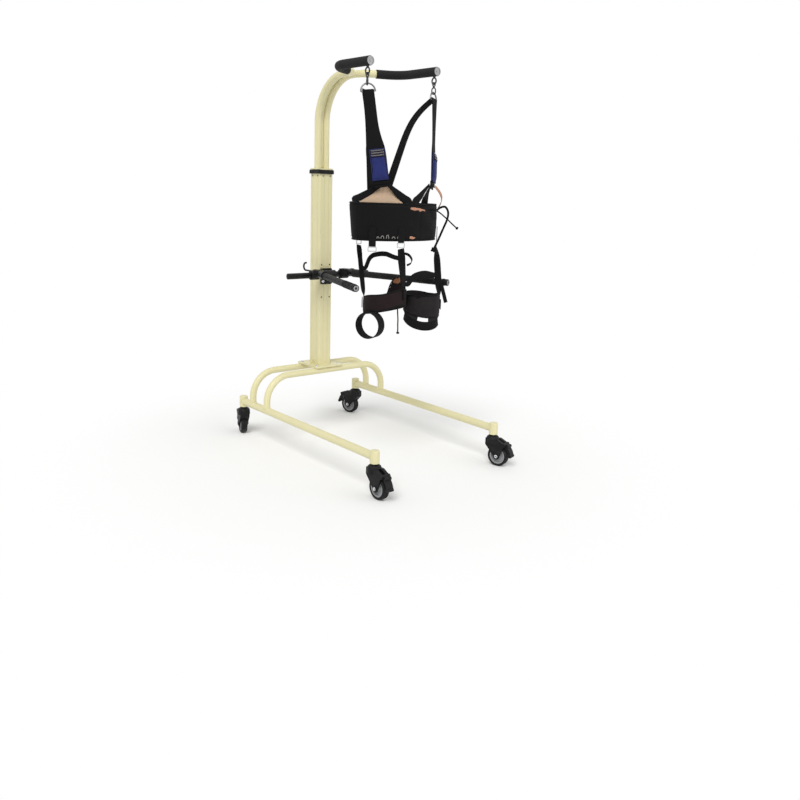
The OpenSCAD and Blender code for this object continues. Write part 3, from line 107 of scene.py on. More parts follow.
def smooth_path(points: Points, per_span: int, closed: bool = False) -> Points:
    """Run a smooth curve through points.

    Args:
        points: The points to pass through.
        per_span: New points for each span.
        closed: Whether the last point joins the first.

    Returns:
        The points of the curve.
    """
    points = np.asarray(points, float)
    count = len(points)
    found = []
    for i in range(count if closed else count - 1):
        around = [(i + k) % count if closed else min(max(i + k, 0), count - 1) for k in (-1, 0, 1, 2)]
        a, b, c, d = points[around]
        slope, square, cube = c - a, 2 * a - 5 * b + 4 * c - d, 3 * b - a - 3 * c + d
        for t in (k / per_span for k in range(per_span)):
            found.append(0.5 * (2 * b + slope * t + square * t**2 + cube * t**3))
    if not closed:
        found.append(points[-1])
    return np.array(found)


def tangents(points: Points, closed: bool = False) -> Points:
    """Find the unit direction of a path at each of its points."""
    if closed:
        steps = np.roll(points, -1, axis=0) - np.roll(points, 1, axis=0)
    else:
        steps = np.gradient(points, axis=0)
    return steps / np.linalg.norm(steps, axis=1, keepdims=True)


def lengths(points: Points, closed: bool = False) -> Points:
    """Measure the way along a path to each of its points, and back to the first where it is closed."""
    path = np.vstack([points, points[:1]]) if closed else points
    steps = np.linalg.norm(np.diff(path, axis=0), axis=1)
    return np.concatenate([[0.0], np.cumsum(steps)])


class NodeGraph:
    """A node tree with a short call that adds, sets and joins a node."""

    def __init__(self, tree: bpy.types.NodeTree) -> None:
        """Work on a tree."""
        self.tree = tree

    def add(self, kind: str, inputs: dict | None = None, **settings: object) -> bpy.types.Node:
        """Add a node.

        Args:
            kind: Type of the node.
            inputs: Outputs to join or values to set, by the input's name or number.
            settings: The node's own properties.

        Returns:
            The node.
        """
        node = self.tree.nodes.new(kind)
        for name, value in settings.items():
            setattr(node, name, value)
        for key, value in (inputs or {}).items():
            if isinstance(value, Socket):
                self.link(value, node.inputs[key])
            else:
                node.inputs[key].default_value = value
        return node

    def link(self, source: Socket, target: Socket) -> None:
        """Join an output to an input."""
        self.tree.links.new(source, target)


class ShaderGraph(NodeGraph):
    """A material's node tree, with short calls for the nodes that the finishes share."""

    def __init__(self, name: str) -> None:
        """Start a material with its plain shader."""
        self.material = bpy.data.materials.new(name)
        self.material.use_nodes = True
        super().__init__(self.material.node_tree)
        self.shader = self.tree.nodes["Principled BSDF"]

    def constant(self, **values: object) -> None:
        """Set values of the shader that are the same all over, by socket name with _ for spaces."""
        for name, value in values.items():
            self.shader.inputs[name.replace("_", " ")].default_value = value

    def coords(self, source: Coords) -> Socket:
        """Give the coordinates that a pattern reads."""
        return self.add("ShaderNodeTexCoord").outputs[source.value]

    def noise(self, vector: Socket, scale: float, detail: float = 3.0) -> Socket:
        """Give soft noise of a number of lumps to the metre."""
        node = self.add("ShaderNodeTexNoise", {"Vector": vector, "Scale": scale, "Detail": detail})
        return node.outputs["Fac"]

    def cells(self, vector: Socket, scale: float) -> Socket:
        """Give the distance to the middle of packed cells."""
        return self.add("ShaderNodeTexVoronoi", {"Vector": vector, "Scale": scale}).outputs["Distance"]

    def stretched(self, vector: Socket, scale: tuple[float, float, float]) -> Socket:
        """Scale coordinates along each axis."""
        return self.add("ShaderNodeMapping", {"Vector": vector, "Scale": scale}).outputs["Vector"]

    def math(self, operation: str, first: Socket, second: Socket | float = 0.0) -> Socket:
        """Work out one sum on a value."""
        return self.add("ShaderNodeMath", {0: first, 1: second}, operation=operation).outputs[0]

    def remap(self, value: Socket, low: float, high: float, start: float = 0.0, end: float = 1.0) -> Socket:
        """Spread a value from one range over another."""
        ends = {"From Min": start, "From Max": end, "To Min": low, "To Max": high}
        return self.add("ShaderNodeMapRange", {"Value": value, **ends}).outputs["Result"]

    def blend(self, factor: Socket, low: Socket | tuple, high: Socket | tuple) -> Socket:
        """Mix two colours by a factor."""
        return self.add("ShaderNodeMix", {0: factor, 6: low, 7: high}, data_type="RGBA").outputs[2]

    def ripple(self, value: Socket, pitch: float) -> Socket:
        """Give a wave with one crest in each pitch."""
        return self.math("SINE", self.math("MULTIPLY", value, TURN / pitch))

    def colour(self, value: Socket) -> None:
        """Lead a colour to the shader."""
        self.link(value, self.shader.inputs["Base Color"])

    def roughness(self, value: Socket) -> None:
        """Lead a roughness to the shader."""
        self.link(value, self.shader.inputs["Roughness"])

    def bump(self, height: Socket, strength: float, distance: float) -> None:
        """Raise the surface by a height pattern."""
        node = self.add("ShaderNodeBump", {"Height": height, "Strength": strength, "Distance": distance})
        self.link(node.outputs["Normal"], self.shader.inputs["Normal"])


@dataclass(frozen=True)
class Finish:
    """A finish with a colour; each kind draws its own pattern."""

    name: str
    colour: tuple

    def draw(self, graph: ShaderGraph, place: Socket) -> None:
        """Draw the finish's pattern on object coordinates."""
        raise NotImplementedError

    def tones(self, graph: ShaderGraph, factor: Socket, low: float, high: float) -> Socket:
        """Run between two shades of the colour by a factor."""
        return graph.blend(factor, shade(self.colour, low), shade(self.colour, high))

    def material(self) -> bpy.types.Material:
        """Give the finish's material, built at its first use."""
        known = bpy.data.materials.get(self.name)
        if known is None:
            graph = ShaderGraph(self.name)
            self.draw(graph, graph.coords(Coords.OBJECT))
            known = graph.material
        return known


@dataclass(frozen=True)
class Paint(Finish):
    """Powder coat with an orange-peel skin, faint tone changes and rubbed spots."""

    rough: float = 0.36
    peel: float = 700.0
    rub: float = 0.08
    gloss: float = 0.4

    def draw(self, graph: ShaderGraph, place: Socket) -> None:
        """Draw the paint."""
        tone = self.tones(graph, graph.noise(place, 5), 0.95, 1.03)
        rubbed = graph.remap(graph.noise(place, 38, 6), 0, self.rub, 0.62, 0.74)
        graph.colour(graph.blend(rubbed, tone, shade(self.colour, 0.6)))
        graph.roughness(graph.remap(graph.noise(place, 60), self.rough - 0.07, self.rough + 0.07))
        graph.bump(graph.noise(place, self.peel, 2), 0.12, 0.0004)
        graph.constant(Specular_IOR_Level=self.gloss)


@dataclass(frozen=True)
class Plated(Finish):
    """Bright plated steel with fine drawn lines and finger-dulled spots."""

    rough: float = 0.24
    drawn: tuple = (900, 900, 60)

    def draw(self, graph: ShaderGraph, place: Socket) -> None:
        """Draw the metal."""
        lines = graph.noise(graph.stretched(place, self.drawn), 1, 4)
        dull = graph.noise(place, 45)
        graph.colour(self.tones(graph, dull, 0.86, 1.08))
        graph.roughness(graph.remap(dull, self.rough - 0.08, self.rough + 0.12, 0.3, 0.7))
        graph.bump(lines, 0.08, 0.0002)
        graph.constant(Metallic=1.0)


@dataclass(frozen=True)
class Moulded(Finish):
    """Moulded plastic or rubber with a fine grain and a little dust in it."""

    rough: float = 0.5
    grain: float = 1500.0
    depth: float = 0.2
    dust: float = 0.05
    gloss: float = 0.18
    dust_colour: tuple = srgb(150, 147, 140)

    def draw(self, graph: ShaderGraph, place: Socket) -> None:
        """Draw the moulding."""
        skin_grain = graph.noise(place, self.grain, 2)
        cloud = graph.noise(place, 22, 5)
        dusty = graph.remap(cloud, 0, self.dust, 0.5, 0.8)
        graph.colour(graph.blend(dusty, self.tones(graph, cloud, 0.85, 1.15), self.dust_colour))
        graph.roughness(graph.remap(graph.noise(place, 90), self.rough - 0.08, self.rough + 0.1))
        graph.bump(skin_grain, self.depth, 0.0004)
        graph.constant(Specular_IOR_Level=self.gloss)


@dataclass(frozen=True)
class Foam(Finish):
    """Closed-cell foam sleeve with small pores and soft dents."""

    pores: float = 620.0

    def draw(self, graph: ShaderGraph, place: Socket) -> None:
        """Draw the foam."""
        pore = graph.cells(place, self.pores)
        dent = graph.noise(place, 60, 4)
        graph.colour(self.tones(graph, pore, 0.7, 1.35))
        graph.roughness(graph.remap(dent, 0.78, 0.95))
        graph.bump(graph.math("ADD", pore, graph.math("MULTIPLY", dent, 1.5)), 0.35, 0.0009)
        graph.constant(Sheen_Weight=0.04, Sheen_Roughness=0.6, Specular_IOR_Level=0.2)


@dataclass(frozen=True)
class Woven(Finish):
    """Cloth or webbing whose threads follow the piece's own UV map, laid out in metres."""

    across: float = 0.0016
    along: float = 0.0022
    depth: float = 0.5
    sheen: float = 0.03
    blotch: float = 0.1
    second: tuple | None = None

    def draw(self, graph: ShaderGraph, place: Socket) -> None:
        """Draw the cloth."""
        parts = graph.add("ShaderNodeSeparateXYZ", {0: graph.coords(Coords.UV)}).outputs
        crossing = graph.math(
            "MULTIPLY", graph.ripple(parts["X"], self.across), graph.ripple(parts["Y"], self.along)
        )
        weave = graph.remap(crossing, 0, 1, -1, 1)
        cloud = graph.noise(place, 26, 5)
        patch = graph.remap(cloud, 0, 1, 0.5 - self.blotch, 0.5 + self.blotch)
        tone = graph.blend(patch, self.colour, self.second or shade(self.colour, 1.25))
        graph.colour(graph.blend(weave, shade(self.colour, 0.72), tone))
        graph.roughness(graph.remap(cloud, 0.72, 0.9))
        fuzz = graph.math("MULTIPLY", graph.noise(place, 900, 2), 0.6)
        graph.bump(graph.math("ADD", weave, fuzz), self.depth, 0.0005)
        graph.constant(Sheen_Weight=self.sheen, Sheen_Roughness=0.45, Specular_IOR_Level=0.1)


def plain_cloth(name: str, colour: tuple, thread: float, **other: object) -> Woven:
    """Give a cloth with the same thread both ways."""
    return Woven(name, colour, across=thread, along=thread, **other)


CREAM = Paint("cream_powder_coat_look", srgb(219, 212, 168))
BLACK_PAINT = Paint("black_satin_paint_look", srgb(19, 19, 20), rough=0.42, peel=900, rub=0.1, gloss=0.2)
WELD_PAINT = Paint("cream_weld_look", srgb(213, 206, 162), rough=0.42, peel=1200)
STEEL = Plated("bright_steel_look", srgb(196, 197, 199))
DARK_STEEL = Plated("dull_steel_look", srgb(140, 140, 141), rough=0.34)
HOOK_STEEL = Plated("hook_steel_look", srgb(72, 72, 74), rough=0.36)
RING_STEEL = Plated("ring_steel_look", srgb(124, 124, 126), rough=0.3)
BLACK_PLASTIC = Moulded("black_moulding_look", srgb(18, 18, 19))
GRIP_RUBBER = Moulded("grip_rubber_look", srgb(19, 19, 20), rough=0.56, grain=1100, depth=0.3)
TYRE_RUBBER = Moulded("tyre_rubber_look", srgb(25, 25, 26), rough=0.66, grain=800, depth=0.35, dust=0.16)
RIM_PLASTIC = Moulded("grey_moulding_look", srgb(148, 149, 151), rough=0.42, depth=0.12, dust=0.1, gloss=0.4)
PALE_THREAD = Moulded("pale_thread_look", srgb(150, 146, 142), rough=0.8, depth=0.4, dust=0.0)
BLACK_THREAD = Moulded("black_thread_look", srgb(26, 26, 27), rough=0.8, depth=0.4, dust=0.0)
SLEEVE_FOAM = Foam("sleeve_foam_look", srgb(26, 26, 27))
WEBBING = Woven("black_webbing_look", srgb(19, 19, 20), across=0.0014, along=0.003, depth=0.7)
CORD_BRAID = Woven("black_braid_look", srgb(16, 16, 17), across=0.0016, along=0.0026, depth=0.8)
BELT_CLOTH = plain_cloth("belt_cloth_look", srgb(19, 18, 19), 0.0012, depth=0.4)
CUFF_CLOTH = plain_cloth("cuff_cloth_look", srgb(36, 27, 28), 0.0013)
FAR_CUFF_CLOTH = plain_cloth(
    "far_cuff_cloth_look", srgb(44, 40, 41), 0.0013, second=srgb(24, 22, 23), blotch=0.3
)
NAVY_PATCH = plain_cloth("navy_patch_look", srgb(27, 26, 46), 0.001)
NAVY_CLOTH = plain_cloth("navy_cloth_look", srgb(40, 47, 100), 0.001, depth=0.4, sheen=0.1)
TAN_CLOTH = plain_cloth(
    "tan_lining_look", srgb(203, 172, 146), 0.0014, sheen=0.15, blotch=0.28, second=srgb(168, 155, 128)
)
ROSE_CLOTH = plain_cloth(
    "rose_lining_look", srgb(196, 138, 112), 0.0014, sheen=0.15, blotch=0.25, second=srgb(178, 140, 118)
)
SUEDE = plain_cloth(
    "brown_suede_look", srgb(158, 104, 72), 0.0011, sheen=0.25, blotch=0.3, second=srgb(186, 130, 92)
)


def dress(finish: Finish, *nodes: str) -> None:
    """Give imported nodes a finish."""
    material = finish.material()
    for name in nodes:
        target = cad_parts[name]
        if not target.material_slots:
            target.data.materials.append(material)
        for slot in target.material_slots:
            slot.material = material


def add_object(name: str, data: bpy.types.ID) -> Piece:
    """Link a new object to the scene, at the origin."""
    made = bpy.data.objects.new(name, data)
    bpy.context.scene.collection.objects.link(made)
    return made


def mesh_object(name: str, verts: Points, faces: list, uvs: list | None = None) -> Piece:
    """Make a mesh object at the origin.

    Args:
        name: Name of the piece.
        verts: Points in metres.
        faces: Lists of point numbers.
        uvs: A list of map places for each face, in metres.

    Returns:
        The linked object, smooth shaded.
    """
    mesh = bpy.data.meshes.new(name)
    mesh.from_pydata([tuple(v) for v in verts], [], faces)
    if uvs:
        layer = mesh.uv_layers.new(name="UVMap")
        layer.data.foreach_set("uv", [c for face in uvs for corner in face for c in corner])
    mesh.validate()
    mesh.update()
    mesh.shade_smooth()
    return add_object(name, mesh)


def plain_copy(piece: Piece, name: str) -> Piece:
    """Turn a piece and its modifiers into a plain mesh under a name; the piece is used up."""
    depsgraph = bpy.context.evaluated_depsgraph_get()
    mesh = bpy.data.meshes.new_from_object(piece.evaluated_get(depsgraph))
    piece.modifiers.clear()
    bpy.data.objects.remove(piece)
    mesh.name = name
    return add_object(name, mesh)


def outward(made: Piece) -> Piece:
    """Turn all faces of a closed mesh outwards."""
    bm = bmesh.new()
    bm.from_mesh(made.data)
    bmesh.ops.recalc_face_normals(bm, faces=bm.faces)
    bm.to_mesh(made.data)
    bm.free()
    return made


def walled(sheet: Piece, thickness: float) -> Piece:
    """Give a sheet its thickness, half to each side."""
    wall = sheet.modifiers.new("wall", "SOLIDIFY")
    wall.thickness = thickness
    wall.offset = 0
    return plain_copy(sheet, sheet.name)


def grid_faces(rows: int, cols: int) -> list:
    """Give the faces of a grid of points, row by row."""
    step = cols + 1
    starts = (r * step + c for r in range(rows) for c in range(cols))
    return [[a, a + 1, a + step + 1, a + step] for a in starts]


def skin(name: str, rings: list, closed: bool, across: Points | None = None, way: Points | None = None) -> Piece:
    """Skin rings of points to a closed piece.

    Args:
        name: Name of the piece.
        rings: The rings, each with the same number of points.
        closed: Whether the last ring joins the first; open ends are capped.
        across: Map places round each ring, with one more that closes it.
        way: Map place of each ring, with one more where they are closed.

    Returns:
        The piece, with its faces outwards.
    """
    count, m = len(rings), len(rings[0])
    faces, uvs = [], []
    for i in range(count if closed else count - 1):
        n = (i + 1) % count
        for j in range(m):
            k = (j + 1) % m
            faces.append([i * m + j, i * m + k, n * m + k, n * m + j])
            if across is not None:
                low, high = across[i][j], across[i][j + 1]
                uvs.append([(low, way[i]), (high, way[i]), (high, way[i + 1]), (low, way[i + 1])])
    if not closed:
        for ring, order in ((0, range(m - 1, -1, -1)), (count - 1, range(m))):
            faces.append([ring * m + j for j in order])
            if across is not None:
                uvs.append([(across[ring][j], way[ring]) for j in order])
    return outward(mesh_object(name, [p for ring in rings for p in ring], faces, uvs))


def join(name: str, objects: list) -> Piece:
    """Join mesh objects into one piece.

    Args:
        name: Name of the joined piece.
        objects: The objects, which are used up.

    Returns:
        The joined object.
    """
    bm = bmesh.new()
    materials = []
    for made in objects:
        start = len(bm.faces)
        bm.from_mesh(made.data)
        bm.faces.ensure_lookup_table()
        for face in bm.faces[start:]:
            own = made.data.materials[face.material_index] if made.data.materials else None
            if own not in materials:
                materials.append(own)
            face.material_index = materials.index(own)
    mesh = bpy.data.meshes.new(name)
    bm.to_mesh(mesh)
    bm.free()
    for material in materials:
        mesh.materials.append(material)
    for made in objects:
        bpy.data.objects.remove(made)
    return add_object(name, mesh)


def finish_piece(piece: Piece, body: str, finish: Finish | None, slot: str, *nodes: str) -> Piece:
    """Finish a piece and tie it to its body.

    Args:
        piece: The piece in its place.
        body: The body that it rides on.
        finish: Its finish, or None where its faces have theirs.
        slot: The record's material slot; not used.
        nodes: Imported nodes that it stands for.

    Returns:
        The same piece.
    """
    if finish is not None:
        piece.data.materials.clear()
        piece.data.materials.append(finish.material())
    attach(piece, body)
    if nodes:
        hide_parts(*nodes)
    LOG.info("%s rides on %s with %d faces", piece.name, body, len(piece.data.polygons))
    return piece


@dataclass
class Ribbon:
    """Flat webbing along a path, with soft edges and a map in metres; one direction or width serves all points."""

    name: str
    points: Points
    across: Points
    widths: Points | float
    thick: float = 0.0026
    closed: bool = False
    per_span: int = 4
    section: tuple = (
        (-1, -0.2), (-0.96, -0.5), (-0.5, -0.5), (0, -0.5), (0.5, -0.5), (0.96, -0.5), (1, -0.2),
        (1, 0.2), (0.96, 0.5), (0.5, 0.5), (0, 0.5), (-0.5, 0.5), (-0.96, 0.5), (-1, 0.2),
    )

    def build(self) -> Piece:
        """Sweep the section along the smoothed path."""
        count = len(self.points)
        across = np.broadcast_to(np.asarray(self.across, float), (count, 3))
        widths = np.broadcast_to(np.asarray(self.widths, float), count)[:, None]
        path, across, widths = (
            smooth_path(values, self.per_span, self.closed) for values in (self.points, across, widths)
        )
        along = tangents(path, self.closed)
        out = np.cross(along, across)
        out /= np.linalg.norm(out, axis=1, keepdims=True)
        side = np.cross(out, along)
        rings = [
            [p + a * s * w / 2 + o * rise * self.thick for s, rise in self.section]
            for p, a, w, o in zip(path, side, widths, out)
        ]
        shares = [s for s, _ in (*self.section, self.section[0])]
        return skin(self.name, rings, self.closed, widths * shares / 2, lengths(path, self.closed))


def tube(name: str, points: Points, radius: float, sides: int = 10, closed: bool = False, flat: float = 1.0,
         per_span: int = 4) -> Piece:
    """Sweep a round or oval section along a path.

    Args:
        name: Name of the tube.
        points: Points to pass through.
        radius: Half the height of the section.
        sides: Points round the section.
        closed: Whether the tube joins itself.
        flat: Width of the section as a share of its height.
        per_span: New points for each span.

    Returns:
        The tube.
    """
    path = smooth_path(points, per_span, closed) if per_span > 1 else np.asarray(points, float)
    along = tangents(path, closed)
    guide = UP if np.abs(along[:, 2]).mean() < 0.7 else ASIDE
    rings = []
    for p, direction in zip(path, along):
        side = unit(np.cross(direction, guide))
        up = np.cross(side, direction)
        turns = (TURN * k / sides for k in range(sides))
        rings.append([p + side * math.cos(t) * radius * flat + up * math.sin(t) * radius for t in turns])
    girth = np.arange(sides + 1) * TURN * radius / sides
    return skin(name, rings, closed, np.tile(girth, (len(path), 1)), lengths(path, closed))


@dataclass(frozen=True)
class Bead:
    """One bead of a row: its distance to the next, its half sizes with the last one along the row, its finish."""

    pitch: float
    size: tuple
    finish: Finish

    @property
    def lift(self) -> float:
        """Give how far a row's line stands off the surface that it lies on."""
        return self.size[0] / 3


BASE_WELD = Bead(0.0016, (0.0016, 0.0016, 0.0016), WELD_PAINT)
MAST_WELD = Bead(0.0015, (0.0014, 0.0014, 0.0014), WELD_PAINT)
GRIP_RIB = Bead(0.002, (0.0011, 0.0011, 0.0016), GRIP_RUBBER)
GRIP_BUTTON = Bead(0.0016, (0.0012, 0.0012, 0.0014), RIM_PLASTIC)
RIM_RIB = Bead(0.0013, (0.0016, 0.0011, 0.0014), RIM_PLASTIC)
AXLE_CAP = Bead(0.0014, (0.0013, 0.0013, 0.0013), STEEL)
SEAM = Bead(0.0042, (0.00045, 0.00045, 0.0014), BLACK_THREAD)
BELT_SEAM = Bead(0.0044, (0.0005, 0.0005, 0.0015), BLACK_THREAD)
PAD_SEAM = Bead(0.0034, (0.0011, 0.0011, 0.0014), PALE_THREAD)


class BeadTree:
    """Geometry Nodes that set small beads along lines: stitches, weld ripples and ribs."""

    def __init__(self) -> None:
        """Build the tree with its named inputs."""
        self.tree = bpy.data.node_groups.new("beads_along_lines", "GeometryNodeTree")
        self.socket("Geometry", "Geometry")
        self.pitch = self.socket("Spacing", "Float")
        self.size = self.socket("Bead size", "Vector")
        self.finish = self.socket("Finish", "Material")
        self.socket("Geometry", "Geometry", "OUTPUT")
        graph = NodeGraph(self.tree)
        given = graph.add("NodeGroupInput").outputs
        curve = graph.add("GeometryNodeMeshToCurve", {"Mesh": given["Geometry"]}).outputs["Curve"]
        even = graph.add("GeometryNodeResampleCurve", {"Curve": curve, "Length": given["Spacing"]}, mode="LENGTH")
        bead = graph.add("GeometryNodeMeshUVSphere", {"Segments": 8, "Rings": 6, "Radius": 1.0})
        way = graph.add("GeometryNodeInputTangent").outputs["Tangent"]
        turn = graph.add("FunctionNodeAlignRotationToVector", {"Vector": way}, axis="Z")
        place = graph.add("GeometryNodeInstanceOnPoints", {
            "Points": even.outputs["Curve"], "Instance": bead.outputs["Mesh"],
            "Rotation": turn.outputs["Rotation"], "Scale": given["Bead size"],
        })
        real = graph.add("GeometryNodeRealizeInstances", {"Geometry": place.outputs["Instances"]})
        coat = graph.add("GeometryNodeSetMaterial", {
            "Geometry": real.outputs["Geometry"], "Material": given["Finish"],
        })
        graph.add("NodeGroupOutput", {"Geometry": coat.outputs["Geometry"]})

    def socket(self, name: str, kind: str, way: str = "INPUT") -> str:
        """Add a named socket to the tree and give its identifier."""
        made = self.tree.interface.new_socket(name=name, in_out=way, socket_type="NodeSocket" + kind)
        return made.identifier

    def run(self, name: str, lines: list, bead: Bead, body: str, slot: str, closed: bool = False) -> Piece:
        """Set beads along lines as a plain mesh and tie it to its body.

        Args:
            name: Name of the piece.
            lines: Lists of points.
            bead: The bead to set.
            body: The body that the piece rides on.
            slot: The record's material slot, passed on to finish_piece, which does not use it.
            closed: Whether each line joins itself.

        Returns:
            The piece.
        """
        verts, edges = [], []
        for line in lines:
            start = len(verts)
            verts += [tuple(p) for p in line]
            edges += [(start + i, start + i + 1) for i in range(len(line) - 1)]
            if closed:
                edges.append((start + len(line) - 1, start))
        mesh = bpy.data.meshes.new(name + "_lines")
        mesh.from_pydata(verts, edges, [])
        base = add_object(name + "_lines", mesh)
        modifier = base.modifiers.new("beads", "NODES")
        modifier.node_group = self.tree
        modifier[self.pitch] = bead.pitch
        modifier[self.size] = bead.size
        modifier[self.finish] = bead.finish.material()
        made = plain_copy(base, name)
        made.data.shade_smooth()
        return finish_piece(made, body, None, slot)


BEADS = BeadTree()


@dataclass
class Inflate:
    """Cloth simulation that swells a padded form, with its motion capped."""

    voxel: float = 0.005
    pressure: float = 4.0
    cap: float = 0.003
    frames: int = 20

    def run(self, piece: Piece) -> Piece:
        """Remesh a closed form, which is used up, swell it and give the result under the same name."""
        name = piece.name
        remesh = piece.modifiers.new("even", "REMESH")
        remesh.mode = "VOXEL"
        remesh.voxel_size = self.voxel
        even = plain_copy(piece, name + "_even")
        even = self.swell(even, name + "_swollen")
        fine = even.modifiers.new("soft", "SUBSURF")
        fine.levels = fine.render_levels = 1
        made = plain_copy(even, name)
        made.data.shade_smooth()
        return made

    def swell(self, even: Piece, name: str) -> Piece:
        """Run the cloth under pressure and hold each point within the cap."""
        start = np.array([v.co for v in even.data.vertices])
        cloth = even.modifiers.new("cloth", "CLOTH")
        cloth.settings.use_pressure = True
        cloth.settings.uniform_pressure_force = self.pressure
        cloth.settings.effector_weights.gravity = 0
        cloth.settings.quality = 4
        cloth.point_cache.frame_start = 1
        cloth.point_cache.frame_end = self.frames
        for number in range(1, self.frames + 1):
            bpy.context.scene.frame_set(number)
        swollen = plain_copy(even, name)
        bpy.context.scene.frame_set(1)
        moved = np.array([v.co for v in swollen.data.vertices]) - start
        far = np.linalg.norm(moved, axis=1, keepdims=True)
        end = start + moved * np.minimum(1.0, self.cap / np.maximum(far, 1e-9))
        swollen.data.vertices.foreach_set("co", end.astype(np.float32).ravel())
        return swollen


def map_round(piece: Piece, centre: Points, radius: float) -> None:
    """Lay a band's map out by the angle round its middle and its height.

    Args:
        piece: The band.
        centre: Middle of the band.
        radius: Mean radius that turns the angle into metres.
    """
    mesh = piece.data
    layer = mesh.uv_layers.new(name="UVMap")
    places = np.array([v.co for v in mesh.vertices])
    angle = np.arctan2(places[:, 1] - centre[1], places[:, 0] - centre[0])
    for face in mesh.polygons:
        turns = np.array([angle[v] for v in face.vertices])
        turns = np.where(turns - turns[0] > math.pi, turns - TURN, turns)
        turns = np.where(turns - turns[0] < -math.pi, turns + TURN, turns)
        for loop, turn, v in zip(face.loop_indices, turns, face.vertices):
            layer.data[loop].uv = (turn * radius, places[v][2])


def map_flat(piece: Piece, across: Points, along: Points) -> None:
    """Lay a flat piece's map out along two directions."""
    mesh = piece.data
    layer = mesh.uv_layers.new(name="UVMap")
    places = np.array([v.co for v in mesh.vertices])
    u, v = places @ np.asarray(across, float), places @ np.asarray(along, float)
    for loop in mesh.loops:
        layer.data[loop.index].uv = (u[loop.vertex_index], v[loop.vertex_index])


@dataclass
class BaseFrame:
    """Leg tubes, arches, foot plate and their welds."""

    half_width: float = 0.375
    half_length: float = 0.556
    leg_r: float = 0.019
    leg_z: float = 0.1835
    arch_r: float = 0.017
    arch_y: tuple = (-0.458, -0.322)
    socket_r: float = 0.0215
    weld: Bead = BASE_WELD
    weld_steps: int = 48

    def build(self) -> None:
        """Dress the nodes and lay the weld beads."""
        dress(CREAM, "near_leg", "far_leg", "rear_arch", "front_arch", "foot_plate")
        dress(STEEL, "frame_bolts")
        lines = [self.saddle(side, y) for side in Side for y in self.arch_y]
        lines += [self.collar(side, end) for side in Side for end in (-1, 1)]
        BEADS.run("base_welds", lines, self.weld, "frame", "cream_paint", True)

    def saddle(self, side: Side, y: float) -> Points:
        """Give the line where an arch's upright meets a leg tube."""
        turns, reach = full_turn(self.weld_steps), self.arch_r + self.weld.lift
        x = reach * np.cos(turns)
        z = self.leg_z + np.sqrt((self.leg_r + self.weld.lift) ** 2 - np.minimum(x**2, self.leg_r**2))
        return np.stack([side.value * self.half_width + x, y + reach * np.sin(turns), z], 1)

    def collar(self, side: Side, end: int) -> Points:
        """Give the line where a leg tube meets a caster socket."""
        turns, reach = full_turn(self.weld_steps), self.leg_r + self.weld.lift
        x = reach * np.cos(turns)
        y = end * (self.half_length - np.sqrt(self.socket_r**2 - np.minimum(x**2, self.socket_r**2)))
        return np.stack([side.value * self.half_width + x, y, self.leg_z + reach * np.sin(turns)], 1)


@dataclass
class LiftColumn:
    """Column, collar, inner profile and the lift inside."""

    y: float = -0.39
    head_top: float = 1.3915
    mast_half: float = 0.025
    mast_r: float = 0.017
    plate_top: float = 0.3815
    half_w: float = 0.039
    half_d: float = 0.044
    weld: Bead = MAST_WELD
    weld_steps: int = 40
    hole_x: tuple = (-0.025, 0.025)
    hole_z: tuple = (0.742, 0.91)
    # Radius and depths of the black discs that paint shade into the column's holes.
    shade_plug_r: float = 0.0039
    shade_plug_depths: tuple = (0.0026, 0.0012)

    def build(self) -> None:
        """Dress the nodes, weld the column and the mast's feet, and set black discs just inside the holes as
        painted shade.
        """
        dress(CREAM, "column_profile", "inner_profile", "head_plate")
        dress(BLACK_PLASTIC, "top_collar")
        dress(STEEL, "push_rod")
        dress(HOOK_STEEL, "collar_screws")
        dress(BLACK_PAINT, "lift_motor")
        lift = self.weld.lift
        half_x, half_y, low = self.half_w + lift, self.half_d + lift, self.plate_top + lift
        foot = [(x * half_x, self.y + y * half_y, low) for x, y in CORNERS]
        BEADS.run("column_weld", [foot], self.weld, "frame", "cream_paint", True)
        turns, reach = full_turn(self.weld_steps), self.mast_r + lift
        x, y, z = reach * np.cos(turns), self.y + reach * np.sin(turns), np.full_like(turns, self.head_top + lift)
        rings = [np.stack([side.value * self.mast_half + x, y, z], 1) for side in Side]
        BEADS.run("mast_welds", rings, self.weld, "carriage", "cream_paint", True)
        face = self.y + self.half_d
        # Black discs recessed just inside the column's holes: painted shade that makes the holes read dark.
        shade_plugs = [
            tube("shade_plug", [(x, face - depth, z) for depth in self.shade_plug_depths], self.shade_plug_r, 16, per_span=1)
            for x in self.hole_x for z in self.hole_z
        ]
        finish_piece(join("hole_shade_plugs", shade_plugs), "frame", BLACK_PLASTIC, "black_plastic")


@dataclass
class ForkedMast:
    """Mast tubes with the web between them, foam sleeves, end caps and eye bolts."""

    y: float = -0.39
    foot: float = 1.3935
    bend_z: float = 1.61
    bend_r: float = 0.215
    web_w: float = 0.0158
    web_t: float = 0.004

    def build(self) -> None:
        """Dress the nodes and close the slit between the tubes up to where they part."""
        dress(CREAM, "near_mast", "far_mast")
        dress(SLEEVE_FOAM, "horn_foam")
        dress(DARK_STEEL, "horn_caps")
        dress(HOOK_STEEL, "eye_bolts")
        path = [(0.0, self.y, z) for z in np.linspace(self.foot, self.bend_z, 6)]
        for turn in np.radians(np.arange(6, 91, 6)):
            ahead, rise = self.bend_r * (1 - math.cos(turn)), self.bend_r * math.sin(turn)
            path.append((0.0, self.y + ahead, self.bend_z + rise))
        web = Ribbon("mast_web", path, (1, 0, 0), self.web_w, self.web_t).build()
        finish_piece(web, "carriage", CREAM, "cream_paint")


